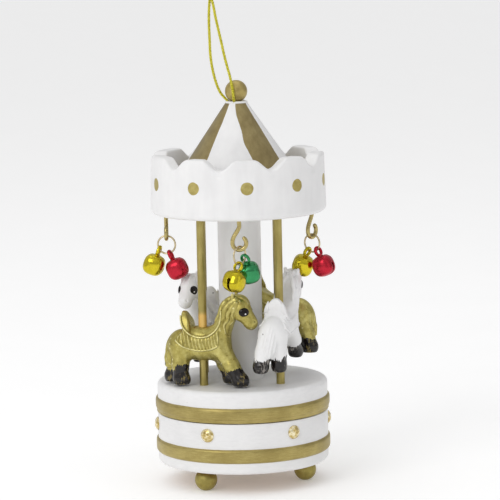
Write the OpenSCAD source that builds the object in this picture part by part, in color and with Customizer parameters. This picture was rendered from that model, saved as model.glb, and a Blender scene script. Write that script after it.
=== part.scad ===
// Carousel music box: turned wooden drum with a clockwork movement, a turning
// platform with four horses on brass poles, a scalloped canopy with a cone roof,
// jingle bells on screw hooks and a metallic hanging cord.
// Millimetres, +Z up. The turning axis is Z and the three ball feet stand on z = 0.

/* [Base] */
// Height of the underside of the wooden drum above the table
base_z0 = 7.6; // [7.2:0.1:7.8]
// Outer radius of the plain white wall of the drum
base_r = 30.7; // [30.2:0.1:31]
// Outer radius of the two raised gold bands
band_r = 31.4; // [31.1:0.1:31.8]
// Height of the joint between the drum and the turning platform
part_z = 25.8; // [25.6:0.1:26]
// Gap at that joint
part_gap = 0.35; // [0.2:0.05:0.5]
// Radius of the hollow inside the drum
cavity_r = 27; // [26.8:0.1:27.4]

/* [Platform] */
// Height of the platform's flat top
top_z = 37.2; // [36.8:0.1:37.6]
// Radius of the flat top inside the rounded shoulder
flat_r = 29.5; // [29:0.1:29.8]

/* [Feet] */
// Radius of each wooden ball foot
foot_r = 4; // [3.8:0.05:4.2]
// Radius of the circle of the three feet
foot_pcr = 22.2; // [21:0.1:23]
// Radius of the sanded flat under each foot
foot_flat_r = 1.3; // [1:0.1:1.6]

/* [Canopy] */
// Height of the canopy's underside
crown_z = 97.8; // [97.5:0.1:98.2]
// Outer radius of the canopy ring
crown_r = 31.4; // [31:0.1:31.6]
// Inner radius of the canopy ring
crown_ri = 26; // [25.6:0.1:26.4]
// Height of the tips of the scallops
scallop_top = 119; // [118:0.5:120]
// Height of the lowest point between two scallops
scallop_low = 115.3; // [114.5:0.1:116]

/* [Roof] */
// Height of the top of the cone
cone_top = 137.3; // [137:0.1:137.6]
// Radius at the top of the cone
cone_top_r = 3.5; // [3.2:0.1:3.8]
// Growth of the radius for each millimetre down the cone
cone_slope = 0.687; // [0.66:0.001:0.69]
// Radius of the gold finial ball
finial_r = 4; // [3.8:0.1:4.2]

/* [Column and poles] */
// Radius of the white centre column
column_r = 7.7; // [7.4:0.1:8]
// Radius of the horses' poles
pole_r = 1.5; // [1.4:0.01:1.55]
// Radius of the circle of the poles
pole_pcr = 19.3; // [19:0.1:19.6]

/* [Bells] */
// Radius of the circle of the hooks
hook_pcr = 26.1; // [26:0.1:26.4]
// Wire radius of the hooks
hook_w = 0.75; // [0.6:0.05:0.8]
// Mean radius of a hook's eye
hook_eye = 2.4; // [2.3:0.05:2.6]
// Height of the centre of a hook's eye
hook_z = 90.1; // [89.9:0.1:90.4]
// Mean radius of a jump ring
ring_m = 3.2; // [3.1:0.05:3.3]
// Wire radius of a jump ring
ring_w = 0.33; // [0.28:0.01:0.35]
// Outer radius of a jingle bell
bell_r = 3.95; // [3.8:0.05:4]
// Turn of each hook's eye about its shank: front, right, back, left
hook_turn = [0, -38, 110, 0]; // [-180:1:180]
// How far each hook is screwed out of its usual depth
hook_out = [0.5, 0, 0, -0.5]; // [-1:0.1:1]
// Turn of each jump ring about the vertical
ring_turn = [-40, -36, 120, -12]; // [-180:1:180]
// Rise of each jump ring where it crosses its hook askew
ring_up = [0.1, 0, 0, 0]; // [0:0.05:0.3]
// Place of each outer bell on its ring, measured from the bottom of the ring
seat_outer = [10, 45, 38, 58]; // [0:1:90]
// Place of each inner bell on its ring, measured from the bottom of the ring
seat_inner = [66, 35, 38, 20]; // [0:1:90]
// Lean of each outer bell away from its neighbour
lean_outer = [25, 24, 23.5, 20.5]; // [18:0.5:28]
// Lean of each inner bell away from its neighbour
lean_inner = [22, 23, 23.5, 25]; // [18:0.5:28]

/* [Horses] */
// Angle between each horse and the circle that it rides on
horse_yaw = [28, 28, 28, 24]; // [15:1:32]
// Height of each horse's hooves above the platform
horse_lift = [0.7, 6.4, 8.2, 5.0]; // [0.5:0.1:9]
// Rearing angle of each horse
horse_rear = [0, 5, 1, 4]; // [0:0.5:8]
// Sideways tilt of each horse
horse_tilt = [0, 5, 0, 0]; // [0:0.5:8]

/* [Movement] */
// Teeth of the great wheel round the spring barrel
great_n = 60; // [60:1:60]
// Module of the great wheel
great_m = 0.4; // [0.4:0.1:0.4]
// Teeth of the crown wheel under the spring barrel
crown_n = 48; // [48:1:48]
// Mean radius of the crown wheel's teeth
crown_tr = 10.6; // [10.6:0.1:10.6]
// Radius of the pinned cylinder
cyl_r = 4; // [3.8:0.1:4]
// Number of the comb's teeth
comb_n = 14; // [12:1:16]

/* [Cord] */
// Diameter of the hanging cord
cord_d = 1; // [0.8:0.1:1.2]

/* [Hidden] */
$fn = 64;
eps = 0.02;

foot_zc = sqrt(foot_r*foot_r - foot_flat_r*foot_flat_r);
foot_a0 = -38;
gem_a0 = -24.5;
pole_a = [-45, 45, 135, 225];
hook_a = [0, 90, 180, 270];
function ring_zc(i) = hook_z - hook_out[i] - hook_eye + hook_w + ring_w + 0.06 + ring_up[i] - ring_m;
scoop_a = [23, 59, 100, 142.5, 179, 219, 267, 312, 347.5];
eye_m = 1.5;
eye_w = 0.3;
eye_c = bell_r + 1.5;
// Drop from the ring's wire to a bell's centre, t being the angle at which the wire crosses the bell's eye.
function bell_arm(t) = eye_c + eye_m - eye_w - ring_w - max(0.08, 0.04 + 0.5*pow(tan(t), 2));
axis_x = 17.1;
gx = -12.3;
gy = 7.1;
fx = -16.6;
fy = -0.3;
ga = atan2(gy, gx);
fa = atan2(fy - gy, fx - gx);

// Places a shape at an angle on a circle, with angle 0 at the front and 90 at the right.
module at_a(a, r, z = 0) rotate([0,0,a]) translate([0,-r,z]) children();

// A toothed outline: n teeth of module m, thin enough to run with free play.
function tooth(n, m, w, add, ded) = let(r = n*m/2, p = 360/n)
  [for (i = [0:n-1]) each [
    [r - ded*m, i*p - p*0.29], [r - 0.1*m, i*p - p*w*0.52], [r + add*m, i*p - p*w*0.26],
    [r + add*m, i*p + p*w*0.26], [r - 0.1*m, i*p + p*w*0.52], [r - ded*m, i*p + p*0.29]]];
module gear2d(n, m, w = 0.42, add = 0.8, ded = 1.15)
  polygon([for (q = tooth(n, m, w, add, ded)) [q[0]*cos(q[1]), q[0]*sin(q[1])]]);

/* ---------- base ---------- */
module base_drum() color("white") {
  difference() {
    rotate_extrude($fn = 128) polygon([
      [cavity_r, base_z0], [base_r - 1.2, base_z0], [base_r - 0.35, base_z0 + 0.35], [base_r, base_z0 + 1.2],
      [base_r, 12.2], [band_r - 0.35, 12.35], [band_r, 12.9], [band_r, 15.9], [band_r - 0.35, 16.45], [base_r, 16.6],
      [base_r, part_z], [cavity_r - 1, part_z], [cavity_r - 1, part_z - 1.5], [cavity_r, part_z - 1.5]]);
    for (k = [0:2]) at_a(foot_a0 + 120*k, foot_pcr, 0) translate([0,0,foot_zc]) sphere(r = foot_r + eps);
  }
}
module base_gems() color("gold")
  for (k = [0:5]) at_a(gem_a0 + 60*k, base_r + 0.02, 21.7) rotate([90,0,0]) {
    cylinder(r = 2.45, h = 0.5, $fn = 12);
    translate([0,0,0.5]) cylinder(r1 = 2.45, r2 = 1.35, h = 1.0, $fn = 12);
  }
module ball_feet() color("goldenrod")
  for (k = [0:2]) at_a(foot_a0 + 120*k, foot_pcr, 0) {
    intersection() {
      translate([0,0,foot_zc]) sphere(r = foot_r, $fn = 48);
      translate([-5,-5,0]) cube([10,10,base_z0 + 3]);
    }
  }
module bottom_cover() color("burlywood") difference() {
  translate([0,0,base_z0 + 0.3]) cylinder(r = cavity_r - 0.1, h = 2.2, $fn = 96);
  translate([0,0,base_z0]) cylinder(r = 3.4, h = 4);
  for (k = [0:2]) at_a(foot_a0 + 120*k, foot_pcr, foot_zc) sphere(r = foot_r + 0.05);
  for (k = [0:2]) at_a(foot_a0 + 60 + 120*k, 20, base_z0) cylinder(r = 0.85, h = 4);
  for (k = [0:2]) at_a(foot_a0 + 60 + 120*k, 20, base_z0 + 0.2) cylinder(r = 1.7, h = 0.8);
}
module cover_screws() color("silver")
  for (k = [0:2]) at_a(foot_a0 + 60 + 120*k, 20, 0) difference() {
    union() {
      translate([0,0,base_z0 + 0.35]) cylinder(r = 1.6, h = 0.6);
      translate([0,0,base_z0 + 0.35]) cylinder(r = 0.8, h = 4.1);
    }
    translate([-2,-0.2,base_z0 + 0.3]) cube([4,0.4,0.35]);
  }

/* ---------- movement, fixed parts ---------- */
module movement_plate() color("lightsteelblue") difference() {
  translate([0,0,10.3]) cylinder(r = 24.5, h = 1.6, $fn = 96);
  translate([0,0,10]) cylinder(r = 3.02, h = 3);
  for (k = [0:2]) at_a(foot_a0 + 60 + 120*k, 20, 10) cylinder(r = 0.82, h = 3);
  translate([gx,gy,10]) cylinder(r = 0.55, h = 3);
  translate([fx,fy,10]) cylinder(r = 0.55, h = 3);
}
module arbor_bush() color("gold") difference() {
  union() {
    translate([0,0,10.3]) cylinder(r = 3, h = 1.6);
    translate([0,0,11.95]) cylinder(r = 3.6, h = 2);
    translate([0,0,11.8]) cylinder(r = 3, h = 0.3);
  }
  translate([0,0,10]) cylinder(r = 1.56, h = 5);
}
module wrap_spring() color("silver") union() {
  for (k = [0:3]) translate([0,0,14.35 + 0.52*k]) rotate_extrude($fn = 48) translate([2.05,0]) circle(r = 0.28, $fn = 16);
  translate([1.9,-0.25,14.1]) cube([2.4,0.5,0.4]);
  translate([3.75,-0.25,11.95]) cube([0.5,0.5,2.5]);
}
module comb() color("silver") {
  difference() {
    intersection() {
      translate([13.4,-13.5,17.6]) cube([10.6,4.2,0.9]);
      translate([0,0,17]) cylinder(r = cavity_r - 0.4, h = 2, $fn = 96);
    }
    for (x = [15.5, 21.8]) translate([x,-11.6,17]) cylinder(r = 0.72, h = 2);
  }
  pitch = 10/comb_n;
  for (i = [0:comb_n-1]) translate([13.6 + i*pitch,-9.4,17.75]) cube([pitch*0.62, 4.85, 0.5]);
  difference() {
    intersection() {
      translate([13.4,-13.5,11.92]) cube([10.6,4.2,5.66]);
      translate([0,0,11]) cylinder(r = cavity_r - 0.4, h = 7, $fn = 96);
    }
    for (x = [15.5, 21.8]) translate([x,-11.6,13]) cylinder(r = 0.72, h = 6);
  }
}
module comb_screws() color("gold")
  for (x = [15.5, 21.8]) translate([x,-11.6,0]) difference() {
    union() {
      translate([0,0,18.52]) cylinder(r = 1.25, h = 0.8);
      translate([0,0,14]) cylinder(r = 0.68, h = 4.7);
    }
    translate([-2,-0.15,19]) cube([4,0.3,1]);
  }
module cylinder_bearings() color("gold")
  for (x = [7.6, 24.75]) difference() {
    union() {
      translate([x,-1.8,11.92]) cube([1,3.6,5.2]);
      translate([x,0,axis_x]) rotate([0,90,0]) cylinder(r = 1.15, h = 1);
    }
    translate([x-1,0,axis_x]) rotate([0,90,0]) cylinder(r = 0.66, h = 3);
  }
module governor_bridge() color("gold") difference() {
  union() {
    translate([-21.7,4.2,11.92]) cube([1.5,3,11.1]);
    translate([-21.7,4.2,22.93]) cube([10.7,4.4,1]);
    translate([-18.2,-1.5,22.93]) cube([3.2,7,1]);
  }
  translate([gx,gy,20]) cylinder(r = 0.52, h = 6);
  translate([fx,fy,20]) cylinder(r = 0.52, h = 6);
}

/* ---------- movement, moving parts ---------- */
module winding_arbor() color("silver") union() {
  translate([0,0,3.2]) cylinder(r = 1.5, h = 23);
  translate([0,0,16.9]) cylinder(r = 2.4, h = 2);
}
module winding_key() color("silver") difference() {
  union() {
    translate([0,0,2]) cylinder(r = 2.6, h = 5.2);
    translate([0,0,2]) intersection() {
      translate([-8,-0.6,0]) cube([16,1.2,4.6]);
      union() {
        translate([-4.6,0,2.3]) rotate([90,0,0]) cylinder(r = 3.2, h = 4, center = true);
        translate([4.6,0,2.3]) rotate([90,0,0]) cylinder(r = 3.2, h = 4, center = true);
        translate([-4,-2,1]) cube([8,4,2.6]);
      }
    }
  }
  translate([0,0,3.15]) cylinder(r = 1.52, h = 6);
}
module pin_cylinder() color("gold") union() {
  difference() {
    translate([13.4,0,axis_x]) rotate([0,90,0]) cylinder(r = cyl_r, h = 10.4);
    translate([13,0,axis_x]) rotate([0,90,0]) cylinder(r = 0.82, h = 12);
  }
  for (i = [0:comb_n-1]) for (j = [0:2])
    translate([13.6 + i*10/comb_n + 0.22,0,axis_x]) rotate([(i*137 + j*113) % 360,0,0])
      translate([0,0,cyl_r - 0.3]) cylinder(r = 0.14, h = 0.6, $fn = 16);
}
module cylinder_pinion() color("silver") {
  translate([9.6,0,axis_x]) rotate([0,90,0]) rotate([0,0,360/16]) linear_extrude(2.2) gear2d(8, 0.4417, 0.30, 0.75, 1.35);
  translate([7.2,0,axis_x]) rotate([0,90,0]) cylinder(r = 0.6, h = 18.8);
  translate([11.7,0,axis_x]) rotate([0,90,0]) cylinder(r = 0.8, h = 12.9);
}
module governor_wheel() color("gold") translate([gx,gy,0]) union() {
  translate([0,0,19.3]) rotate([0,0,ga + 180 + 18]) linear_extrude(1.9) gear2d(10, great_m, 0.30, 0.75, 1.35);
  translate([0,0,15.4]) rotate([0,0,fa]) linear_extrude(0.8) difference() {
    gear2d(40, 0.35, 0.40, 0.8, 1.15);
    for (k = [0:4]) rotate(72*k) translate([3.9,0]) circle(r = 1.5, $fn = 24);
  }
  translate([0,0,12.4]) cylinder(r = 0.75, h = 9.9);
  translate([0,0,10.5]) cylinder(r = 0.5, h = 13.2);
}
module governor_fan() color("silver") translate([fx,fy,0]) union() {
  translate([0,0,14.9]) rotate([0,0,fa + 180 + 22.5]) linear_extrude(1.8) gear2d(8, 0.35, 0.30, 0.75, 1.3);
  translate([0,0,12.4]) cylinder(r = 0.7, h = 9.9);
  translate([0,0,10.5]) cylinder(r = 0.5, h = 13.2);
  translate([-3,-0.15,17.6]) cube([6,0.3,4.2]);
}
module spring_barrel() color("gold") union() {
  difference() {
    translate([0,0,19.2]) cylinder(r = 9.4, h = 8.6, $fn = 96);
    translate([0,0,19]) cylinder(r = 8.6, h = 7.4, $fn = 96);
    translate([0,0,20]) cylinder(r = 1.56, h = 10);
    for (k = [0:2]) rotate(60 + 120*k) translate([5.5,0,26]) cylinder(r = 0.72, h = 3);
  }
  translate([0,0,19.9]) linear_extrude(0.9) difference() {
    rotate(ga) gear2d(great_n, great_m, 0.42, 0.8, 1.15);
    circle(r = 9.2, $fn = 96);
  }
  for (i = [0:crown_n-1]) rotate(i*360/crown_n) translate([0,0,18.5])
    translate([9.7,0,0]) rotate([90,0,90]) linear_extrude(1.75)
      polygon([[-0.29,1.45],[-0.27,0.5],[-0.15,0],[0.15,0],[0.27,0.5],[0.29,1.45]]);
}
module mainspring() color("steelblue") difference() {
  union() {
    for (k = [0:9]) translate([0,0,20.4]) difference() {
      cylinder(r = 8.45 - k*0.36, h = 5.6, $fn = 64);
      translate([0,0,-1]) cylinder(r = 8.27 - k*0.36, h = 8, $fn = 64);
    }
    for (k = [0:4]) translate([0,0,20.4]) difference() {
      cylinder(r = 3.5 - k*0.36, h = 5.6, $fn = 64);
      translate([0,0,-1]) cylinder(r = 3.32 - k*0.36, h = 8, $fn = 64);
    }
    translate([1.8,-0.2,20.4]) cube([6.6,0.4,5.6]);
  }
  translate([0,0,20]) cylinder(r = 1.62, h = 8);
}
module barrel_cover() color("gold") difference() {
  translate([0,0,19.25]) cylinder(r = 8.58, h = 0.8, $fn = 96);
  translate([0,0,18]) cylinder(r = 1.56, h = 4);
}
module barrel_screws() color("silver")
  for (k = [0:2]) rotate(60 + 120*k) translate([5.5,0,0]) union() {
    translate([0,0,26.06]) cylinder(r = 0.68, h = 5.5);
    translate([0,0,26.04]) cylinder(r = 0.68, h = 0.3);
  }

/* ---------- turning platform ---------- */
module turntable() color("white") difference() {
  rotate_extrude($fn = 128) polygon(concat(
    [[0, 27.85], [10.5, 27.85], [10.5, 33.2], [cavity_r - 0.5, 33.2], [cavity_r, 32.6], [cavity_r, part_z + part_gap],
     [base_r, part_z + part_gap], [band_r - 0.3, part_z + part_gap + 0.15], [band_r, part_z + part_gap + 0.7],
     [band_r, 30.7], [band_r - 0.35, 31.25], [base_r, 31.4]],
    [for (a = [0:10:90]) [flat_r - 0.6 + (base_r - flat_r + 0.6)*cos(a), top_z - 1.8 + 1.8*sin(a)]],
    [[0, top_z]]));
  for (a = pole_a) at_a(a, pole_pcr, 34) cylinder(r = pole_r + 0.03, h = 6);
  for (k = [0:2]) rotate(60 + 120*k) translate([5.5,0,26]) cylinder(r = 0.72, h = 6);
  translate([0,0,34.4]) cylinder(r = column_r - 1.67, h = 4);
}
module centre_column() color("white") difference() {
  union() {
    translate([0,0,top_z]) cylinder(r = column_r, h = crown_z - top_z);
    translate([0,0,34.45]) cylinder(r = column_r - 1.7, h = 4);
    translate([0,0,crown_z - 1]) cylinder(r = column_r - 1.7, h = 4);
  }
}
module horse_poles() color("goldenrod")
  for (a = pole_a) at_a(a, pole_pcr, 34.1) cylinder(r = pole_r, h = 66.7, $fn = 32);

// A stout prancing toy horse, facing +X, bored for its pole at the origin.
module horse() {
    hull() { translate([-6.3,0,15.8]) sphere(r = 5, $fn = 20); translate([6.6,0,15.2]) sphere(r = 4.7, $fn = 20); }
    hull() { translate([9.2,0,18.5]) sphere(r = 3.6, $fn = 16); translate([12.8,0,27.4]) sphere(r = 2.7, $fn = 16); }
    hull() { translate([14.2,0,28.2]) sphere(r = 2.9, $fn = 16); translate([18.9,0,23.8]) sphere(r = 1.7, $fn = 16); }
    for (q = [[-8.2,2.3,-11.5],[-8,-2.3,-6.2],[7.6,2.2,9.8],[7.9,-2.2,15.2]])
      hull() { translate([q[0],q[1],14]) sphere(r = 2.5, $fn = 14); translate([q[2],q[1]*1.15,0.1]) cylinder(r = 2.2, h = 1.2, $fn = 14); }
    translate([-5.2,0,21.2]) rotate([90,0,0]) cylinder(r = 2.1, h = 6.6, center = true, $fn = 24);
    translate([6.2,0,20.6]) rotate([90,0,0]) cylinder(r = 1.5, h = 4.6, center = true, $fn = 24);
    translate([-11.4,0,6]) rotate([0,6,0]) cylinder(r1 = 1.2, r2 = 2, h = 11, $fn = 20);
}
module place_horse(i, c) color(c) at_a(pole_a[i], pole_pcr, top_z + horse_lift[i]) difference() {
  rotate([0,0,horse_yaw[i]]) translate([0,0,15]) rotate([0,-horse_rear[i],0]) rotate([horse_tilt[i],0,0]) translate([0,0,-15]) union() horse();
  translate([0,0,-1]) cylinder(r = pole_r + 0.04, h = 40);
}
module horse_gold_front() place_horse(0, "darkgoldenrod");
module horse_white_front() place_horse(1, "whitesmoke");
module horse_gold_back() place_horse(2, "darkgoldenrod");
module horse_white_back() place_horse(3, "whitesmoke");

/* ---------- canopy ---------- */
module canopy_crown() color("white") difference() {
  rotate_extrude($fn = 128) polygon(concat(
    [[0, crown_z]],
    [for (a = [-90:15:0]) [crown_r - 1.6 + 1.6*cos(a), crown_z + 1.6 + 1.6*sin(a)]],
    [[crown_r, scallop_top - 0.5], [crown_r - 0.5, scallop_top], [crown_ri + 0.5, scallop_top], [crown_ri, scallop_top - 0.5],
     [crown_ri, 104.8], [0, 104.8]]));
  for (a = scoop_a) rotate([0,0,a]) translate([0,-crown_ri + 3,0]) rotate([90,0,0])
    linear_extrude(12) intersection() {
      translate([0, scallop_low + 5.3]) scale([1.15, 1.0]) circle(r = 5.3, $fn = 48);
      translate([-8, scallop_low - 1]) square([16, 14]);
    }
  for (a = pole_a) at_a(a, pole_pcr, crown_z - 1) cylinder(r = pole_r + 0.03, h = 4.1);
  for (a = hook_a) at_a(a, hook_pcr, crown_z - 1) cylinder(r = hook_w + 0.03, h = 5);
  translate([0,0,crown_z - 1]) cylinder(r = column_r - 1.67, h = 4.1);
}
module cone_roof() color("goldenrod") difference() {
  union() {
    translate([0,0,104.85]) cylinder(r1 = cone_top_r + (cone_top - 104.85)*cone_slope, r2 = cone_top_r, h = cone_top - 104.85, $fn = 128);
  }
  translate([0,0,cone_top + 3.45]) sphere(r = finial_r + 0.03);
}
module finial_ball() color("goldenrod") translate([0,0,cone_top + 3.45]) sphere(r = finial_r, $fn = 64);

// Screw hook: threaded shank in the canopy and an open eye of wire.
module hook(i) at_a(hook_a[i], hook_pcr, hook_z - hook_out[i]) rotate([0,0,hook_turn[i]]) union() {
  translate([0,0,hook_eye]) cylinder(r = hook_w, h = crown_z + 3.8 - hook_z + hook_out[i] - hook_eye, $fn = 32);
  rotate([90,90,0]) rotate([0,0,-180]) rotate_extrude(angle = 318, $fn = 64) translate([hook_eye,0]) circle(r = hook_w, $fn = 24);
}
module screw_hooks() color("goldenrod") for (i = [0:3]) hook(i);

/* ---------- rings and bells ---------- */
module jump_ring(i) color("gold") at_a(hook_a[i], hook_pcr, ring_zc(i)) rotate([0,0,ring_turn[i]]) rotate([0,90,0])
  rotate_extrude($fn = 64) translate([ring_m,0]) circle(r = ring_w, $fn = 20);
module ring_front() jump_ring(0);
module ring_right() jump_ring(1);
module ring_back() jump_ring(2);
module ring_left() jump_ring(3);

// Places a shape in a bell's own frame: origin at the bell's centre, +Z towards its eye.
module bell_at(i, side) let(seat = side > 0 ? seat_outer[i] : seat_inner[i], lean = side > 0 ? lean_outer[i] : lean_inner[i])
  at_a(hook_a[i], hook_pcr, ring_zc(i)) rotate([0,0,ring_turn[i]]) translate([0, -side*ring_m*sin(seat), -ring_m*cos(seat)])
    rotate([-side*lean,0,0]) translate([0,0,-bell_arm(seat - lean)]) children();
module bell(i, side, c) color(c) bell_at(i, side) union() {
  difference() {
    sphere(r = bell_r, $fn = 48);
    sphere(r = bell_r - 0.45, $fn = 48);
    for (a = [0, 90]) rotate([0,0,a + 45]) translate([-5,-0.35,-5]) cube([10,0.7,4.1]);
    for (a = [0:90:270]) rotate([0,0,a + 45]) translate([0,3.9,-0.9]) rotate([90,0,0]) cylinder(r = 0.75, h = 2, center = true, $fn = 24);
  }
  translate([0,0,-0.25]) difference() {
    cylinder(r = bell_r + 0.12, h = 0.5, $fn = 64);
    translate([0,0,-1]) cylinder(r = bell_r - 0.3, h = 3, $fn = 64);
  }
  translate([0,0,eye_c]) rotate([0,90,90]) rotate_extrude($fn = 40) translate([eye_m,0]) circle(r = eye_w, $fn = 16);
}
module pellet(i, side) color("dimgray") bell_at(i, side) translate([0,0.1,-1.95]) sphere(r = 1.3, $fn = 32);
module bell_front_outer() bell(0, 1, "gold");
module bell_front_inner() bell(0, -1, "green");
module bell_right_outer() bell(1, 1, "crimson");
module bell_right_inner() bell(1, -1, "gold");
module bell_back_outer() bell(2, 1, "gold");
module bell_back_inner() bell(2, -1, "green");
module bell_left_outer() bell(3, 1, "gold");
module bell_left_inner() bell(3, -1, "crimson");
module pellet_front_outer() pellet(0, 1);
module pellet_front_inner() pellet(0, -1);
module pellet_right_outer() pellet(1, 1);
module pellet_right_inner() pellet(1, -1);
module pellet_back_outer() pellet(2, 1);
module pellet_back_inner() pellet(2, -1);
module pellet_left_outer() pellet(3, 1);
module pellet_left_inner() pellet(3, -1);

/* ---------- hanging cord ---------- */
cord_route = [
  [-0.8,-3.6,137.4], [-1,-4.6,139.2], [-1.2,-4.9,141.4], [-1.6,-4.4,143.8], [-2.1,-3.3,146.4], [-3,-2.2,149.8],
  [-4,-1.4,154], [-4.9,-0.9,158.4], [-5.9,-0.7,163.2], [-6.8,-0.6,167.6], [-7.4,-0.6,171.2],
  [-8.2,-0.6,174.2], [-9.6,-0.6,176.8], [-10.9,-0.5,179.4], [-11,-0.3,182], [-9.6,-0.1,184], [-7.6,0.1,184], [-6.2,0.3,182],
  [-6.3,0.5,179.4], [-7.4,0.6,176.8], [-8.5,0.6,174.2],
  [-8.9,0.5,171], [-9.1,0.4,167], [-9.1,0.2,163], [-9,0,158.8], [-8.9,-0.2,154.6], [-8.5,-0.3,150.6], [-7.8,-0.4,146.8],
  [-6.8,-0.5,143.2], [-5.6,-0.5,140.4], [-4.2,-0.5,138.6], [-3,-0.5,137.4]];
function cr(p, i, t) = let(n = len(p), a = p[max(i-1,0)], b = p[i], c = p[min(i+1,n-1)], d = p[min(i+2,n-1)])
  0.5*((2*b) + (c - a)*t + (2*a - 5*b + 4*c - d)*t*t + (3*b - a - 3*c + d)*t*t*t);
cord_pts = [for (i = [0:len(cord_route)-2]) each [cr(cord_route,i,0), cr(cord_route,i,0.5)], cord_route[len(cord_route)-1]];
function unit(v) = v/norm(v);
function tan_at(p, i) = unit(p[min(i+1,len(p)-1)] - p[max(i-1,0)]);
module hanging_cord() color("gold") {
  n = len(cord_pts); s = 8;
  pts = [for (i = [0:n-1]) let(t = tan_at(cord_pts,i), b = unit([0,1,0] - t*t[1]), m = cross(b,t))
    for (k = [0:s-1]) cord_pts[i] + cord_d/2*(cos(360*k/s)*m + sin(360*k/s)*b)];
  faces = concat(
    [[for (k = [0:s-1]) k]],
    [for (i = [0:n-2]) for (k = [0:s-1]) [i*s+k, (i+1)*s+k, (i+1)*s+(k+1)%s, i*s+(k+1)%s]],
    [[for (k = [s-1:-1:0]) (n-1)*s+k]]);
  polyhedron(points = pts, faces = faces, convexity = 6);
}

base_drum();
base_gems();
ball_feet();
bottom_cover();
cover_screws();
movement_plate();
arbor_bush();
wrap_spring();
comb();
comb_screws();
cylinder_bearings();
governor_bridge();
winding_arbor();
winding_key();
pin_cylinder();
cylinder_pinion();
governor_wheel();
governor_fan();
spring_barrel();
mainspring();
barrel_cover();
barrel_screws();
turntable();
centre_column();
horse_poles();
horse_gold_front();
horse_white_front();
horse_gold_back();
horse_white_back();
canopy_crown();
cone_roof();
finial_ball();
screw_hooks();
hanging_cord();
ring_front();
ring_right();
ring_back();
ring_left();
bell_front_outer();
bell_front_inner();
bell_right_outer();
bell_right_inner();
bell_back_outer();
bell_back_inner();
bell_left_outer();
bell_left_inner();
pellet_front_outer();
pellet_front_inner();
pellet_right_outer();
pellet_right_inner();
pellet_back_outer();
pellet_back_inner();
pellet_left_outer();
pellet_left_inner();
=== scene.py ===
import math
import bpy
import numpy as np
from mathutils import Vector, Matrix


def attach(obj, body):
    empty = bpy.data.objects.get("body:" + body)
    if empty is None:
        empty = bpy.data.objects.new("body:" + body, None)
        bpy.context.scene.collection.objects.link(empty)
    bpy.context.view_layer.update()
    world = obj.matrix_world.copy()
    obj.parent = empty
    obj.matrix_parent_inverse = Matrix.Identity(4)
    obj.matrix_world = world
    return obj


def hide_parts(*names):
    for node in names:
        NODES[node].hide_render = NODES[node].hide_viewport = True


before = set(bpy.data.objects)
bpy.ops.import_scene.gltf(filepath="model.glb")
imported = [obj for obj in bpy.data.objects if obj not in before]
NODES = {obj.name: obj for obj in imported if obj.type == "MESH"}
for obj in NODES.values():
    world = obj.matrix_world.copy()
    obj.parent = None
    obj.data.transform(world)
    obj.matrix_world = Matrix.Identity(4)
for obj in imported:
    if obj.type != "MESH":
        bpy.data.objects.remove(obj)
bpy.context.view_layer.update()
scene = bpy.context.scene
MM = 0.001
rng = np.random.default_rng(11)

# ------------------------------------------------------------------ camera
# Held at the photograph's place: 1.1 m away, 8.4 degrees up, rolled 1.2 degrees.
CAM_D, CAM_EL, CAM_ROLL = 1.100, math.radians(8.371), math.radians(1.239)
CAM_F, CAM_CX, CAM_CY, CAM_ZT = 3062.1, 240.21, 282.73, 0.07176
fwd = Vector((0, math.cos(CAM_EL), -math.sin(CAM_EL)))
rt = Vector((1, 0, 0))
up = Vector((0, math.sin(CAM_EL), math.cos(CAM_EL)))
img_r = rt * math.cos(CAM_ROLL) - up * math.sin(CAM_ROLL)
img_u = rt * math.sin(CAM_ROLL) + up * math.cos(CAM_ROLL)
aim = (fwd + img_r * ((250 - CAM_CX) / CAM_F) + img_u * ((CAM_CY - 250) / CAM_F)).normalized()
cam_x = (img_r - aim * img_r.dot(aim)).normalized()
cam_y = (-aim).cross(cam_x).normalized()
cam_data = bpy.data.cameras.new("camera")
cam_data.sensor_fit = "HORIZONTAL"
cam_data.sensor_width = 36.0
cam_data.lens = CAM_F * 36.0 / 500.0
cam_data.clip_start, cam_data.clip_end = 0.05, 50.0
cam = bpy.data.objects.new("camera", cam_data)
scene.collection.objects.link(cam)
pos = Vector((0, -CAM_D * math.cos(CAM_EL), CAM_ZT + CAM_D * math.sin(CAM_EL)))
cam.matrix_world = Matrix((
    (cam_x.x, cam_y.x, -aim.x, pos.x),
    (cam_x.y, cam_y.y, -aim.y, pos.y),
    (cam_x.z, cam_y.z, -aim.z, pos.z),
    (0, 0, 0, 1)))
scene.camera = cam


# ------------------------------------------------------------------ mesh helpers
def make(name, verts, faces, sharp=None, smooth=True, mats=(), face_mat=None):
    """A mesh object from points in millimetres, in the row frame."""
    me = bpy.data.meshes.new(name)
    me.from_pydata((np.asarray(verts, float) * MM).tolist(), [], [list(map(int, f)) for f in faces])
    me.update()
    me.polygons.foreach_set("use_smooth", [smooth] * len(me.polygons))
    if smooth and sharp is not None:
        me.set_sharp_from_angle(angle=math.radians(sharp))
    for m in mats:
        me.materials.append(m)
    if face_mat is not None:
        me.polygons.foreach_set("material_index", np.asarray(face_mat, np.int32))
    me.update()
    o = bpy.data.objects.new(name, me)
    scene.collection.objects.link(o)
    return o


def turn_a(a):
    """Rotation that carries the front (0, -r) to angle a, seen from above."""
    t = math.radians(a)
    return np.array([[math.cos(t), -math.sin(t), 0], [math.sin(t), math.cos(t), 0], [0, 0, 1.0]])


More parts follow.
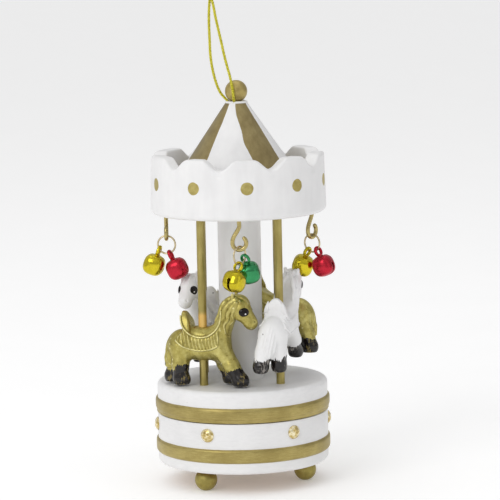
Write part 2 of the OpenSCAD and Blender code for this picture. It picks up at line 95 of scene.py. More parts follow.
def lathe(name, prof, n=256, sharp=50, mats=(), offset=None):
    """A closed turned solid. prof runs from the axis or round a ring, outside upwards."""
    prof = [tuple(p) for p in prof]
    ring = prof[0] != prof[-1] and not (prof[0][0] < 1e-9 and prof[-1][0] < 1e-9)
    th = np.arange(n) * 2 * np.pi / n
    verts, idx = [], []
    for r, z in prof:
        if r < 1e-9:
            idx.append([len(verts)])
            verts.append((0, 0, z))
        else:
            start = len(verts)
            if offset is None:
                rr = np.full(n, r)
                zz = np.full(n, z)
            else:
                rr, zz = offset(r, z, th)
            verts.extend(zip(rr * np.sin(th), -rr * np.cos(th), zz))
            idx.append(list(range(start, start + n)))
    faces = []
    pairs = list(zip(idx[:-1], idx[1:])) + ([(idx[-1], idx[0])] if ring else [])
    for a, b in pairs:
        for i in range(n):
            j = (i + 1) % n
            if len(a) == 1 and len(b) == 1:
                continue
            if len(a) == 1:
                faces.append((a[0], b[j], b[i]))
            elif len(b) == 1:
                faces.append((a[i], a[j], b[0]))
            else:
                faces.append((a[i], a[j], b[j], b[i]))
    return make(name, verts, faces, sharp=sharp, mats=mats)


def arc(cx, cz, r, a0, a1, n=6):
    return [(cx + r * math.cos(math.radians(a0 + (a1 - a0) * i / n)),
             cz + r * math.sin(math.radians(a0 + (a1 - a0) * i / n))) for i in range(n + 1)]


def smooth_path(pts, per=4):
    """Catmull-Rom through the points."""
    p = np.asarray(pts, float)
    q = np.vstack([2 * p[0] - p[1], p, 2 * p[-1] - p[-2]])
    out = []
    for i in range(1, len(q) - 2):
        for t in np.arange(per) / per:
            out.append(0.5 * ((2 * q[i]) + (-q[i - 1] + q[i + 1]) * t
                              + (2 * q[i - 1] - 5 * q[i] + 4 * q[i + 1] - q[i + 2]) * t * t
                              + (-q[i - 1] + 3 * q[i] - 3 * q[i + 1] + q[i + 2]) * t ** 3))
    out.append(p[-1])
    return np.array(out)


def resample(path, step):
    seg = np.linalg.norm(np.diff(path, axis=0), axis=1)
    s = np.concatenate([[0], np.cumsum(seg)])
    n = max(2, int(round(s[-1] / step)) + 1)
    t = np.linspace(0, s[-1], n)
    return np.stack([np.interp(t, s, path[:, k]) for k in range(3)], 1), t


def frames(path):
    """Twist-free normals along a path."""
    tan = np.gradient(path, axis=0)
    tan /= np.linalg.norm(tan, axis=1)[:, None]
    u = np.cross(tan[0], [0.3, 0.9, 0.1])
    u /= np.linalg.norm(u)
    us = [u]
    for i in range(1, len(path)):
        u = us[-1] - tan[i] * np.dot(us[-1], tan[i])
        us.append(u / np.linalg.norm(u))
    us = np.array(us)
    return tan, us, np.cross(tan, us)


def tube(path, radius, sides=12, caps=True, base=0):
    """Vertices and faces of a round tube with domed ends."""
    path = np.asarray(path, float)
    rad = np.full(len(path), float(radius)) if np.isscalar(radius) else np.asarray(radius, float)
    tan, u, v = frames(path)
    if caps:
        k = [0.0, 0.45, 0.8]
        a = [(path[0] - tan[0] * rad[0] * math.sqrt(1 - x * x), rad[0] * x) for x in k[1:]]
        b = [(path[-1] + tan[-1] * rad[-1] * math.sqrt(1 - x * x), rad[-1] * x) for x in k[1:][::-1]]
        path = np.vstack([[x[0] for x in a], path, [x[0] for x in b]])
        rad = np.concatenate([[x[1] for x in a], rad, [x[1] for x in b]])
        u = np.vstack([[u[0]] * 2, u, [u[-1]] * 2])
        v = np.vstack([[v[0]] * 2, v, [v[-1]] * 2])
    th = np.arange(sides) * 2 * np.pi / sides
    ring = (path[:, None, :] + rad[:, None, None] * (np.cos(th)[None, :, None] * u[:, None, :]
                                                      + np.sin(th)[None, :, None] * v[:, None, :]))
    n = len(path)
    verts = ring.reshape(-1, 3)
    i, j = np.meshgrid(np.arange(n - 1), np.arange(sides), indexing="ij")
    j2 = (j + 1) % sides
    f = np.stack([i * sides + j, i * sides + j2, (i + 1) * sides + j2, (i + 1) * sides + j], -1).reshape(-1, 4) + base
    faces = [tuple(x) for x in f]
    verts = list(map(tuple, verts))
    if caps:
        c0, c1 = len(verts), len(verts) + 1
        e0 = path[0] - tan[0] * (rad[2] * (1 - math.sqrt(1 - 0.45 ** 2)))
        e1 = path[-1] + tan[-1] * (rad[2] * (1 - math.sqrt(1 - 0.45 ** 2)))
        verts += [tuple(e0), tuple(e1)]
        for j in range(sides):
            j2 = (j + 1) % sides
            faces.append((c0 + base, j2 + base, j + base))
            faces.append((c1 + base, (n - 1) * sides + j + base, (n - 1) * sides + j2 + base))
    else:
        faces.append(tuple(base + j for j in range(sides))[::-1])
        faces.append(tuple(base + (n - 1) * sides + j for j in range(sides)))
    return verts, faces


def net(f, lo, hi, h, fix=3):
    """Closed quad surface of f(x, y, z) = 0, negative inside, in millimetres."""
    ax = [np.arange(lo[k], hi[k] + h, h) for k in range(3)]
    X, Y, Z = np.meshgrid(*ax, indexing="ij")
    F = f(X.ravel(), Y.ravel(), Z.ravel()).reshape(X.shape)
    S = F < 0
    n = np.array(F.shape)
    cnt = np.zeros(n - 1, np.uint8)
    acc = np.zeros(tuple(n - 1) + (3,))
    cor = [(a, b, c) for a in (0, 1) for b in (0, 1) for c in (0, 1)]
    cut = lambda A, p: A[p[0]:n[0] - 1 + p[0], p[1]:n[1] - 1 + p[1], p[2]:n[2] - 1 + p[2]]
    for p in cor:
        for k in range(3):
            if p[k]:
                continue
            q = tuple(p[m] + (m == k) for m in range(3))
            m = cut(S, p) != cut(S, q)
            A, B = cut(F, p)[m], cut(F, q)[m]
            t = A / (A - B)
            acc[m] += np.array(p, float)
            tmp = acc[m]
            tmp[:, k] += t
            acc[m] = tmp
            cnt[m] += 1
    act = cnt > 0
    idx = np.full(cnt.shape, -1, np.int64)
    idx[act] = np.arange(act.sum())
    V = (np.argwhere(act) + acc[act] / cnt[act][:, None]) * h + np.array(lo)
    quads = []
    for k in range(3):
        a, b = [m for m in range(3) if m != k]
        sl0 = [slice(None)] * 3
        sl1 = [slice(None)] * 3
        sl0[k], sl1[k] = slice(0, -1), slice(1, None)
        ch = S[tuple(sl0)] != S[tuple(sl1)]
        e = np.argwhere(ch)
        keep = (e[:, a] > 0) & (e[:, b] > 0) & (e[:, a] < n[a] - 1) & (e[:, b] < n[b] - 1)
        e = e[keep]
        off = np.zeros((4, 3), int)
        off[0, a], off[0, b] = -1, -1
        off[1, b] = -1
        off[3, a] = -1
        c = [idx[tuple((e + o).T)] for o in off]
        inside = S[tuple(e.T)]
        Q = np.stack(c, 1)
        flip = inside if k != 1 else ~inside
        Q[~flip] = Q[~flip][:, ::-1]
        quads.append(Q)
    Q = np.vstack(quads)
    for _ in range(fix):
        e = h * 0.15
        d = f(*V.T)
        g = np.stack([f(V[:, 0] + e, V[:, 1], V[:, 2]) - f(V[:, 0] - e, V[:, 1], V[:, 2]),
                      f(V[:, 0], V[:, 1] + e, V[:, 2]) - f(V[:, 0], V[:, 1] - e, V[:, 2]),
                      f(V[:, 0], V[:, 1], V[:, 2] + e) - f(V[:, 0], V[:, 1], V[:, 2] - e)], 1) / (2 * e)
        g2 = np.maximum((g ** 2).sum(1), 0.25)
        V = V - np.clip(d / g2, -0.3 * h, 0.3 * h)[:, None] * g
    return V, Q


def ell(x, y, z, c, r, tilt=0.0):
    """Distance to an ellipsoid, roughly. tilt turns it about y, in degrees."""
    x, y, z = x - c[0], y - c[1], z - c[2]
    if tilt:
        ct, st = math.cos(math.radians(tilt)), math.sin(math.radians(tilt))
        x, z = ct * x + st * z, -st * x + ct * z
    k0 = np.sqrt((x / r[0]) ** 2 + (y / r[1]) ** 2 + (z / r[2]) ** 2)
    k1 = np.sqrt((x / r[0] ** 2) ** 2 + (y / r[1] ** 2) ** 2 + (z / r[2] ** 2) ** 2)
    return k0 * (k0 - 1) / np.maximum(k1, 1e-6)


def limb(x, y, z, a, b, ra, rb, wide=1.0):
    """Distance to a tapered limb from a to b. wide stretches it sideways."""
    a, b = np.array(a, float), np.array(b, float)
    d = b - a
    px, py, pz = x - a[0], (y - a[1]) / wide, z - a[2]
    dd = np.array([d[0], d[1] / wide, d[2]])
    t = np.clip((px * dd[0] + py * dd[1] + pz * dd[2]) / (dd @ dd), 0, 1)
    return np.sqrt((px - t * dd[0]) ** 2 + (py - t * dd[1]) ** 2 + (pz - t * dd[2]) ** 2) - (ra + (rb - ra) * t)


def smin(a, b, k):
    h = np.clip(0.5 + 0.5 * (b - a) / k, 0, 1)
    return b * (1 - h) + a * h - k * h * (1 - h)


def smax(a, b, k):
    return -smin(-a, -b, k)


# ------------------------------------------------------------------ materials
class Mat:
    """A Principled material with small node helpers. Coordinates are the object's own, in metres."""

    def __init__(self, name, color=(0.8, 0.8, 0.8), rough=0.5, metal=0.0, coat=0.0, coat_rough=0.1, spec=0.5, sheen=0.0):
        self.m = bpy.data.materials.new(name)
        self.m.use_nodes = True
        self.t = self.m.node_tree
        self.b = self.t.nodes["Principled BSDF"]
        self.b.inputs["Base Color"].default_value = (*color, 1)
        self.b.inputs["Roughness"].default_value = rough
        self.b.inputs["Metallic"].default_value = metal
        self.b.inputs["Coat Weight"].default_value = coat
        self.b.inputs["Coat Roughness"].default_value = coat_rough
        self.b.inputs["Specular IOR Level"].default_value = spec
        self.m.diffuse_color = (*color, 1)
        self.co = self.t.nodes.new("ShaderNodeTexCoord").outputs["Object"]
        self.height = None

    def _in(self, sock, v):
        if v is None:
            return
        if hasattr(v, "is_output") or isinstance(v, bpy.types.NodeSocket):
            self.t.links.new(v, sock)
        elif isinstance(v, (tuple, list)) and len(v) == 3 and sock.type == "RGBA":
            sock.default_value = (*v, 1)
        else:
            sock.default_value = v

    def math(self, op, a, b=None, c=None, clamp=False):
        n = self.t.nodes.new("ShaderNodeMath")
        n.operation = op
        n.use_clamp = clamp
        for k, v in enumerate((a, b, c)):
            self._in(n.inputs[k], v)
        return n.outputs[0]

    def xyz(self, v=None):
        n = self.t.nodes.new("ShaderNodeSeparateXYZ")
        self._in(n.inputs[0], v if v is not None else self.co)
        return n.outputs[0], n.outputs[1], n.outputs[2]

    def scaled(self, s, loc=(0, 0, 0), v=None):
        n = self.t.nodes.new("ShaderNodeMapping")
        self._in(n.inputs["Vector"], v if v is not None else self.co)
        n.inputs["Scale"].default_value = s
        n.inputs["Location"].default_value = loc
        return n.outputs[0]

    def noise(self, scale, detail=3.0, rough=0.55, v=None, seed=0.0, dist=0.0):
        n = self.t.nodes.new("ShaderNodeTexNoise")
        n.noise_dimensions = "4D"
        n.inputs["W"].default_value = seed
        self._in(n.inputs["Vector"], v if v is not None else self.co)
        n.inputs["Scale"].default_value = scale
        n.inputs["Detail"].default_value = detail
        n.inputs["Roughness"].default_value = rough
        n.inputs["Distortion"].default_value = dist
        return n.outputs["Fac"]

    def cells(self, scale, v=None, feature="F1", out="Distance"):
        n = self.t.nodes.new("ShaderNodeTexVoronoi")
        n.feature = feature
        self._in(n.inputs["Vector"], v if v is not None else self.co)
        n.inputs["Scale"].default_value = scale
        return n.outputs[out]

    def pointiness(self):
        """0.5 on the flat, more on edges and less in grooves."""
        return self.t.nodes.new("ShaderNodeNewGeometry").outputs["Pointiness"]

    def span(self, v, a, b, lo=0.0, hi=1.0):
        """v from a..b mapped smoothly to lo..hi."""
        n = self.t.nodes.new("ShaderNodeMapRange")
        n.interpolation_type = "SMOOTHSTEP"
        self._in(n.inputs["Value"], v)
        for k, x in (("From Min", a), ("From Max", b), ("To Min", lo), ("To Max", hi)):
            n.inputs[k].default_value = x
        return n.outputs[0]

    def ramp(self, v, stops):
        n = self.t.nodes.new("ShaderNodeValToRGB")
        cr = n.color_ramp
        while len(cr.elements) < len(stops):
            cr.elements.new(0.5)
        for e, (p, c) in zip(cr.elements, stops):
            e.position = p
            e.color = (*c, 1)
        self._in(n.inputs[0], v)
        return n.outputs[0]

    def mix(self, f, a, b):
        n = self.t.nodes.new("ShaderNodeMix")
        n.data_type = "RGBA"
        self._in(n.inputs[0], f)
        self._in(n.inputs[6], a)
        self._in(n.inputs[7], b)
        return n.outputs[2]

    def mixf(self, f, a, b):
        n = self.t.nodes.new("ShaderNodeMix")
        n.data_type = "FLOAT"
        self._in(n.inputs[0], f)
        self._in(n.inputs[2], a)
        self._in(n.inputs[3], b)
        return n.outputs[0]

    def set(self, **kw):
        for k, v in kw.items():
            self._in(self.b.inputs[k.replace("_", " ")], v)

    def bump(self, height, mm, strength=1.0, normal=None):
        """height 0..1 stands mm high."""
        n = self.t.nodes.new("ShaderNodeBump")
        n.inputs["Strength"].default_value = strength
        n.inputs["Distance"].default_value = mm * MM
        self._in(n.inputs["Height"], height)
        self._in(n.inputs["Normal"], normal)
        self.t.links.new(n.outputs[0], self.b.inputs["Normal"])
        return n.outputs[0]


WHITE = ((0.74, 0.735, 0.735), (0.80, 0.795, 0.795), (0.845, 0.84, 0.835))
GOLD = ((0.262, 0.202, 0.064), (0.385, 0.305, 0.104), (0.56, 0.465, 0.184))


def white_finish(m, seed=0.0, grain=(1, 1, 1)):
    """Satin white paint over sanded wood: colour, roughness and height."""
    cloud = m.noise(70, 3, 0.6, seed=seed)
    brush = m.noise(420, 2, 0.5, v=m.scaled(grain), seed=seed + 3)
    tiny = m.noise(2600, 2, 0.6, seed=seed + 5)
    tone = m.math("ADD", m.math("MULTIPLY", cloud, 0.65), m.math("MULTIPLY", brush, 0.35))
    col = m.ramp(tone, ((0.30, WHITE[0]), (0.50, WHITE[1]), (0.70, WHITE[2])))
    rough = m.span(brush, 0.3, 0.7, 0.36, 0.50)
    height = m.math("ADD", m.math("MULTIPLY", brush, 0.7), m.math("MULTIPLY", tiny, 0.3))
    return col, rough, height


def gold_finish(m, seed=0.0, grain=(1, 1, 1), colors=GOLD):
    """Brushed-on metallic paint: streaks along the brush and fine flakes."""
    cloud = m.noise(95, 3, 0.6, seed=seed + 11)
    brush = m.noise(650, 3, 0.6, v=m.scaled(grain), seed=seed + 13)
    flake = m.noise(7000, 1, 0.5, seed=seed + 17)
    tone = m.math("ADD", m.math("ADD", m.math("MULTIPLY", cloud, 0.40), m.math("MULTIPLY", brush, 0.38)),
                  m.math("MULTIPLY", flake, 0.22))
    col = m.ramp(tone, ((0.34, colors[0]), (0.50, colors[1]), (0.66, colors[2])))
    rough = m.span(brush, 0.3, 0.7, 0.34, 0.50)
    height = m.math("ADD", m.math("MULTIPLY", brush, 0.6), m.math("MULTIPLY", flake, 0.4))
    return col, rough, height


def two_tone(name, mask_fn, seed=0.0, grain_w=(1, 1, 1), grain_g=(1, 1, 1), colors=GOLD, specks=0.0, rim=None):
    """White with gold painted on where mask_fn says."""
    m = Mat(name)
    wc, wr, wh = white_finish(m, seed, grain_w)
    if specks:
        s = m.cells(240)
        s2 = m.noise(120, 1, 0.5, seed=seed + 31)
        dot = m.math("MULTIPLY", m.span(s, 0.05, 0.09, 1, 0), m.span(s2, 0.60, 0.64))
        wc = m.mix(m.math("MULTIPLY", dot, specks), wc, (0.12, 0.10, 0.09))
    gc, gr, gh = gold_finish(m, seed, grain_g, colors)
    mask = mask_fn(m)
    m.set(Base_Color=m.mix(mask, wc, gc), Metallic=m.math("MULTIPLY", mask, 0.82), Roughness=m.mixf(mask, wr, gr))
    h = m.math("ADD", m.mixf(mask, m.math("MULTIPLY", wh, 0.35), m.math("MULTIPLY", gh, 0.45)), m.math("MULTIPLY", mask, 0.8))
    m.bump(h, 0.045)
    return m.m


def wob(m, v, amount_mm, scale=260, seed=0.0, stretch=(1, 1, 1)):
    """v, shifted by a hand-painted wobble of amount_mm."""
    n = m.noise(scale, 3, 0.6, v=m.scaled(stretch), seed=seed)
    return m.math("ADD", v, m.math("MULTIPLY", m.math("SUBTRACT", n, 0.5), 2 * amount_mm * MM))


def inside(m, v, lo, hi, soft=0.05):
    """1 where v (metres) lies between lo and hi (millimetres)."""
    a = m.span(v, (lo - soft) * MM, (lo + soft) * MM)
    b = m.span(v, (hi - soft) * MM, (hi + soft) * MM, 1, 0)
    return m.math("MULTIPLY", a, b)


def angle_of(m):
    """Degrees round the axis, 0 at the front and positive to the right."""
    x, y, _ = m.xyz()
    return m.math("MULTIPLY", m.math("ARCTAN2", x, m.math("MULTIPLY", y, -1)), 180 / math.pi)


def metal(name, color, rough, seed=0.0, dark=0.6, light=1.25, scale=700, bump=0.02, coat=0.0, metallic=1.0, spread=0.06):
    """Plated or drawn metal with a little tone and roughness variation."""
    m = Mat(name, color=color, rough=rough, metal=metallic, coat=coat, coat_rough=0.08)
    a = m.noise(scale * 0.25, 3, 0.6, seed=seed)
    b = m.noise(scale * 3, 2, 0.6, seed=seed + 2)
    tone = m.math("ADD", m.math("MULTIPLY", a, 0.6), m.math("MULTIPLY", b, 0.4))
    c0 = tuple(c * dark for c in color)
    c1 = tuple(min(1, c * light) for c in color)
    m.set(Base_Color=m.ramp(tone, ((0.30, c0), (0.50, color), (0.72, c1))),
          Roughness=m.span(b, 0.3, 0.7, max(0.04, rough - spread), rough + spread))
    m.bump(tone, bump)
    return m.m


# painted wooden parts
m = Mat("paint_white")
c, r, h = white_finish(m, 1.0, (1, 1, 0.35))
m.set(Base_Color=c, Roughness=r)
m.bump(h, 0.02)
mat_white = m.m

mat_drum = two_tone("paint_drum", lambda m: inside(m, wob(m, m.xyz()[2], 0.13, 150, 2.0, (1, 1, 0.4)), 11.75, 16.75, 0.06),
                    seed=2.0, grain_w=(1, 1, 4), grain_g=(0.5, 0.5, 5))


def table_mask(m):
    x, y, z = m.xyz()
    return inside(m, wob(m, z, 0.12, 170, 4.0, (1, 1, 0.4)), 24.0, 31.45, 0.06)


mat_table = two_tone("paint_turntable", table_mask, seed=3.0, grain_w=(1, 1, 3), grain_g=(0.5, 0.5, 5), specks=0.85)

# Tips of the rim, in degrees from the front; each has a gold dot under it.
TIPS = (5.6, 41.6, 77.6, 122.0, 161.0, 198.5, 241.0, 291.5, 329.8)
SCOOPS = (23, 59, 100, 142.5, 179, 219, 267, 312, 347.5)


def dots_mask(m):
    x, y, z = m.xyz()
    edge = m.math("MULTIPLY", m.math("SUBTRACT", m.noise(480, 2, 0.5, seed=8.0), 0.5), 0.0005)
    best = None
    for a in TIPS:
        t = math.radians(a)
        parts = [m.math("SUBTRACT", v, c) for v, c in ((x, 0.0312 * math.sin(t)), (y, -0.0312 * math.cos(t)), (z, 0.1092))]
        sq = [m.math("MULTIPLY", v, v) for v in parts]
        d = m.math("SQRT", m.math("ADD", m.math("ADD", sq[0], sq[1]), sq[2]))
        best = d if best is None else m.math("MINIMUM", best, d)
    return m.span(m.math("ADD", best, edge), 0.00219, 0.00233, 1, 0)


mat_crown = two_tone("paint_crown", dots_mask, seed=5.0, grain_w=(1, 1, 0.18), grain_g=(1, 1, 1),
                     colors=((0.30, 0.24, 0.07), (0.44, 0.36, 0.12), (0.60, 0.52, 0.20)))

# Stripes of the roof: the two edges of each gold stripe at three heights, in degrees.
STRIPES = (((18, 59), (9.5, 58), (-5, 55)), ((104, 148), (103, 149), (100, 150)),
           ((193, 238), (194, 237), (196, 236)), ((277, 321), (276, 321.5), (272, 323)))


def stripes_mask(m):
    x, y, z = m.xyz()
    a = angle_of(m)
    a = m.math("ADD", a, m.math("MULTIPLY", m.math("LESS_THAN", a, -30.0), 360.0))
    n = m.noise(160, 3, 0.6, v=m.scaled((1, 1, 0.7)), seed=21.0)
    rad = m.math("SQRT", m.math("ADD", m.math("MULTIPLY", x, x), m.math("MULTIPLY", y, y)))
    wobble = m.math("DIVIDE", m.math("MULTIPLY", m.math("SUBTRACT", n, 0.5), 0.9 * 57.3 * MM), m.math("MAXIMUM", rad, 0.002))
    a = m.math("ADD", a, wobble)
    soft = m.math("DIVIDE", 0.07 * 57.3 * MM, m.math("MAXIMUM", rad, 0.002))
    total = None
    t1 = m.span(z, 0.117, 0.126)
    t2 = m.span(z, 0.126, 0.1365)
    for low, mid, top in STRIPES:
        e = []
        for k in (0, 1):
            v = m.mixf(t1, float(low[k]), float(mid[k]))
            e.append(m.mixf(t2, v, float(top[k])))
        s = m.math("MULTIPLY",
                   m.math("DIVIDE", m.math("SUBTRACT", a, e[0]), soft, clamp=True),
                   m.math("DIVIDE", m.math("SUBTRACT", e[1], a), soft, clamp=True))
        total = s if total is None else m.math("MAXIMUM", total, s)
    return m.math("MULTIPLY", total, m.span(z, 0.13655, 0.1367, 1, 0))


mat_cone = two_tone("paint_roof", stripes_mask, seed=6.0, grain_w=(1, 1, 0.3), grain_g=(1, 1, 0.25),
                    colors=((0.228, 0.172, 0.074), (0.305, 0.240, 0.108), (0.41, 0.335, 0.160)))


def gold_mat(name, seed, colors=GOLD, metallic=0.82, grain=(1, 1, 1), coat=0.0, bump=0.04):
    m = Mat(name, coat=coat, coat_rough=0.25)
    c, r, h = gold_finish(m, seed, grain, colors)
    m.set(Base_Color=c, Roughness=r, Metallic=metallic)
    m.bump(h, bump)
    return m.m


mat_ball = gold_mat("paint_finial", 7.0, ((0.31, 0.235, 0.078), (0.44, 0.345, 0.125), (0.60, 0.49, 0.20)))
mat_feet = gold_mat("paint_feet", 9.0, ((0.25, 0.20, 0.052), (0.37, 0.305, 0.085), (0.52, 0.445, 0.15)))

# poles: gold paint with one stretch left as bare wood above the front-left saddle
m = Mat("paint_poles")
gc, gr, gh = gold_finish(m, 12.0, (1, 1, 0.12), ((0.26, 0.205, 0.062), (0.38, 0.31, 0.10), (0.54, 0.46, 0.18)))
x, y, z = m.xyz()
left = m.math("MULTIPLY", m.math("LESS_THAN", x, 0.0), m.math("LESS_THAN", y, 0.0))
zz = wob(m, z, 1.2, 300, 14.0)
bare = m.math("MULTIPLY", m.math("MULTIPLY", m.span(zz, 0.0545, 0.0552), m.span(zz, 0.0618, 0.0645, 1, 0)), left)
wood = m.ramp(m.noise(500, 3, 0.6, v=m.scaled((1, 1, 0.1)), seed=15.0),
              ((0.3, (0.52, 0.29, 0.060)), (0.5, (0.66, 0.40, 0.095)), (0.7, (0.78, 0.52, 0.15))))
m.set(Base_Color=m.mix(bare, gc, wood), Metallic=m.mixf(bare, 0.82, 0.0), Roughness=m.mixf(bare, gr, 0.55))
m.bump(gh, 0.03)
mat_poles = m.m


def horse_mat(name, seed, gold, tail_smear=False):
    """Horse paint: body colour, on the gold horses painted shade in the grooves and a painted highlight on the ridges,
    and black hooves with rough brushed edges.
    """
    m = Mat(name, spec=0.45)
    edge_on = m.pointiness()
    if gold:
        bc, br, bh = gold_finish(m, seed, (1, 1, 1), ((0.26, 0.205, 0.045), (0.44, 0.375, 0.105), (0.70, 0.635, 0.25)))
        # painted shade: the gold is darkened in the grooves, where shade falls
        bc = m.mix(m.math("MULTIPLY", m.span(edge_on, 0.440, 0.495, 1, 0), 0.62), bc, (0.13, 0.10, 0.022))
        # painted highlight: the gold is lightened on ridges and edges, where light catches
        bc = m.mix(m.math("MULTIPLY", m.span(edge_on, 0.515, 0.56), 0.75), bc, (0.88, 0.82, 0.42))
        br = m.math("SUBTRACT", br, 0.08)
    else:
        bc, br, bh = white_finish(m, seed)
        cell = m.cells(330, v=m.scaled((1, 1, 1), (seed * 0.01, 0, 0)))
        pick = m.noise(150, 1, 0.5, seed=seed + 31)
        dot = m.math("MULTIPLY", m.span(cell, 0.07, 0.12, 1, 0), m.span(pick, 0.61, 0.65))
        bc = m.mix(m.math("MULTIPLY", dot, 0.8), bc, (0.10, 0.08, 0.07))
    x, y, z = m.xyz()
    # black boots: streaks run down the leg, so the edge is ragged
    n1 = m.noise(210, 2, 0.5, seed=seed + 41)
    n2 = m.noise(1500, 2, 0.6, v=m.scaled((1, 1, 0.18)), seed=seed + 43)
    edge = m.math("ADD", z, m.math("ADD", m.math("MULTIPLY", m.math("SUBTRACT", n1, 0.5), 0.0045),
                                   m.math("MULTIPLY", m.math("SUBTRACT", n2, 0.5), 0.0034)))
    rise = m.math("ADD", m.math("MULTIPLY", m.span(x, -0.0112, -0.0055), m.math("LESS_THAN", x, 0.0)), m.span(x, 0.0092, 0.0155))
    edge = m.math("SUBTRACT", edge, m.math("MULTIPLY", rise, 0.0020))
    boot = m.span(edge, 0.00480, 0.00503, 1, 0)
    if tail_smear:
        t = m.math("MULTIPLY", m.math("LESS_THAN", x, -0.0138), m.span(edge, 0.0078, 0.0082, 1, 0))
        boot = m.math("MAXIMUM", boot, m.math("MULTIPLY", t, m.span(n2, 0.46, 0.5)))
    blk = m.ramp(m.noise(900, 3, 0.6, seed=seed + 47), ((0.35, (0.005, 0.004, 0.004)), (0.62, (0.012, 0.009, 0.008)), (0.74, (0.06, 0.04, 0.025))))
    # where the black was brushed thin the coat below shows in flecks; the flecks, more on convex edges, also stand in
    # as a painted sheen on the glossy black
    thin = m.math("ADD", m.math("MULTIPLY", m.noise(330, 2, 0.55, seed=seed + 53), 0.55), m.math("MULTIPLY", n2, 0.45))
    thin = m.math("ADD", thin, m.math("MULTIPLY", m.span(edge_on, 0.50, 0.56), 0.10))
    blk = m.mix(m.math("MULTIPLY", m.span(thin, 0.545, 0.60), 0.75), blk, (0.24, 0.185, 0.06) if gold else (0.34, 0.31, 0.28))
    m.set(Base_Color=m.mix(boot, bc, blk),
          Metallic=m.mixf(boot, 0.80 if gold else 0.0, 0.0),
          Roughness=m.mixf(boot, br, m.span(n2, 0.35, 0.65, 0.08, 0.24)))
    m.bump(m.mixf(boot, m.math("MULTIPLY", bh, 0.8), m.math("ADD", m.math("MULTIPLY", n2, 0.9), 0.7)), 0.05)
    return m.m


m = Mat("eye_black", rough=0.10, spec=0.22)
n = m.noise(800, 2, 0.5, seed=4.0)
m.set(Base_Color=m.ramp(n, ((0.4, (0.006, 0.005, 0.005)), (0.7, (0.016, 0.012, 0.011)))), Roughness=m.span(n, 0.3, 0.7, 0.06, 0.12))
m.bump(n, 0.01)
mat_eye = m.m

mat_bell = {
    "gold": metal("bell_gold", (0.60, 0.49, 0.028), 0.17, 1.0, dark=0.72, light=1.25, scale=500, bump=0.03),
    "red": metal("bell_red", (0.50, 0.022, 0.040), 0.27, 2.0, dark=0.72, light=1.25, scale=500, bump=0.03, metallic=0.9),
    "green": metal("bell_green", (0.05, 0.30, 0.115), 0.20, 3.0, dark=0.7, light=1.3, scale=500, bump=0.03, metallic=0.9),
}
mat_hook = metal("hook_brass", (0.46, 0.375, 0.155), 0.27, 4.0, dark=0.7, light=1.3, scale=900, bump=0.02)
mat_ring = metal("ring_brass", (0.62, 0.52, 0.33), 0.22, 5.0, dark=0.75, light=1.2, scale=900, bump=0.01)
mat_brass = metal("brass", (0.62, 0.44, 0.15), 0.26, 6.0, scale=600)
mat_steel = metal("steel", (0.50, 0.50, 0.51), 0.28, 7.0, scale=600)
mat_plate = metal("plate_zinc", (0.42, 0.42, 0.41), 0.42, 8.0, scale=300)
mat_pellet = metal("pellet_steel", (0.40, 0.40, 0.41), 0.25, 9.0, scale=600)

# gold foil tone; its mottle of pale and dark patches is partly a painted sparkle standing for light off the facets
m = Mat("gem_foil", rough=0.12, metal=0.75, coat=0.9, coat_rough=0.02)
v = m.noise(620, 2, 0.6, seed=3.0)
sparkle_cells = m.cells(900)
tone = m.math("ADD", m.math("MULTIPLY", v, 0.6), m.math("MULTIPLY", sparkle_cells, 0.4))
m.set(Base_Color=m.ramp(tone, ((0.25, (0.30, 0.20, 0.045)), (0.45, (0.60, 0.45, 0.14)), (0.62, (0.86, 0.77, 0.50)))),
      Roughness=m.span(v, 0.3, 0.7, 0.06, 0.22))
m.bump(sparkle_cells, 0.05)
mat_gem = m.m

m = Mat("bare_board", rough=0.75)
g = m.noise(900, 4, 0.65, v=m.scaled((1, 0.12, 1)), seed=5.0)
m.set(Base_Color=m.ramp(g, ((0.3, (0.36, 0.22, 0.11)), (0.5, (0.47, 0.31, 0.17)), (0.7, (0.56, 0.39, 0.23)))),
      Roughness=m.span(g, 0.3, 0.7, 0.65, 0.82))
m.bump(g, 0.06)
mat_board = m.m

m = Mat("cord_gold", rough=0.30, metal=0.75)
g = m.noise(2600, 2, 0.6, seed=6.0)
m.set(Base_Color=m.ramp(g, ((0.32, (0.30, 0.27, 0.012)), (0.48, (0.62, 0.56, 0.03)), (0.66, (0.80, 0.74, 0.12)))),
      Roughness=m.span(g, 0.3, 0.7, 0.22, 0.42))
m.bump(g, 0.02)
mat_cord = m.m
# near-black paint for the inner tube: painted shade in the gaps between the braid's strands
m = Mat("cord_gap_shade", rough=0.6, metal=0.2)
g = m.noise(2200, 2, 0.6, seed=7.0)
m.set(Base_Color=m.ramp(g, ((0.35, (0.035, 0.033, 0.006)), (0.65, (0.10, 0.095, 0.02)))))
m.bump(g, 0.02)
mat_gap_shade = m.m

# ------------------------------------------------------------------ cord
# The route's points, in millimetres, as the CAD has them.
ROUTE = [[-0.8, -3.6, 137.4], [-1, -4.6, 139.2], [-1.2, -4.9, 141.4], [-1.6, -4.4, 143.8], [-2.1, -3.3, 146.4],
         [-3, -2.2, 149.8], [-4, -1.4, 154], [-4.9, -0.9, 158.4], [-5.9, -0.7, 163.2], [-6.8, -0.6, 167.6],
         [-7.4, -0.6, 171.2], [-8.2, -0.6, 174.2], [-9.6, -0.6, 176.8], [-10.9, -0.5, 179.4], [-11, -0.3, 182],
         [-9.6, -0.1, 184], [-7.6, 0.1, 184], [-6.2, 0.3, 182], [-6.3, 0.5, 179.4], [-7.4, 0.6, 176.8],
         [-8.5, 0.6, 174.2], [-8.9, 0.5, 171], [-9.1, 0.4, 167], [-9.1, 0.2, 163], [-9, 0, 158.8],
         [-8.9, -0.2, 154.6], [-8.5, -0.3, 150.6], [-7.8, -0.4, 146.8], [-6.8, -0.5, 143.2], [-5.6, -0.5, 140.4],
         [-4.2, -0.5, 138.6], [-3, -0.5, 137.4]]
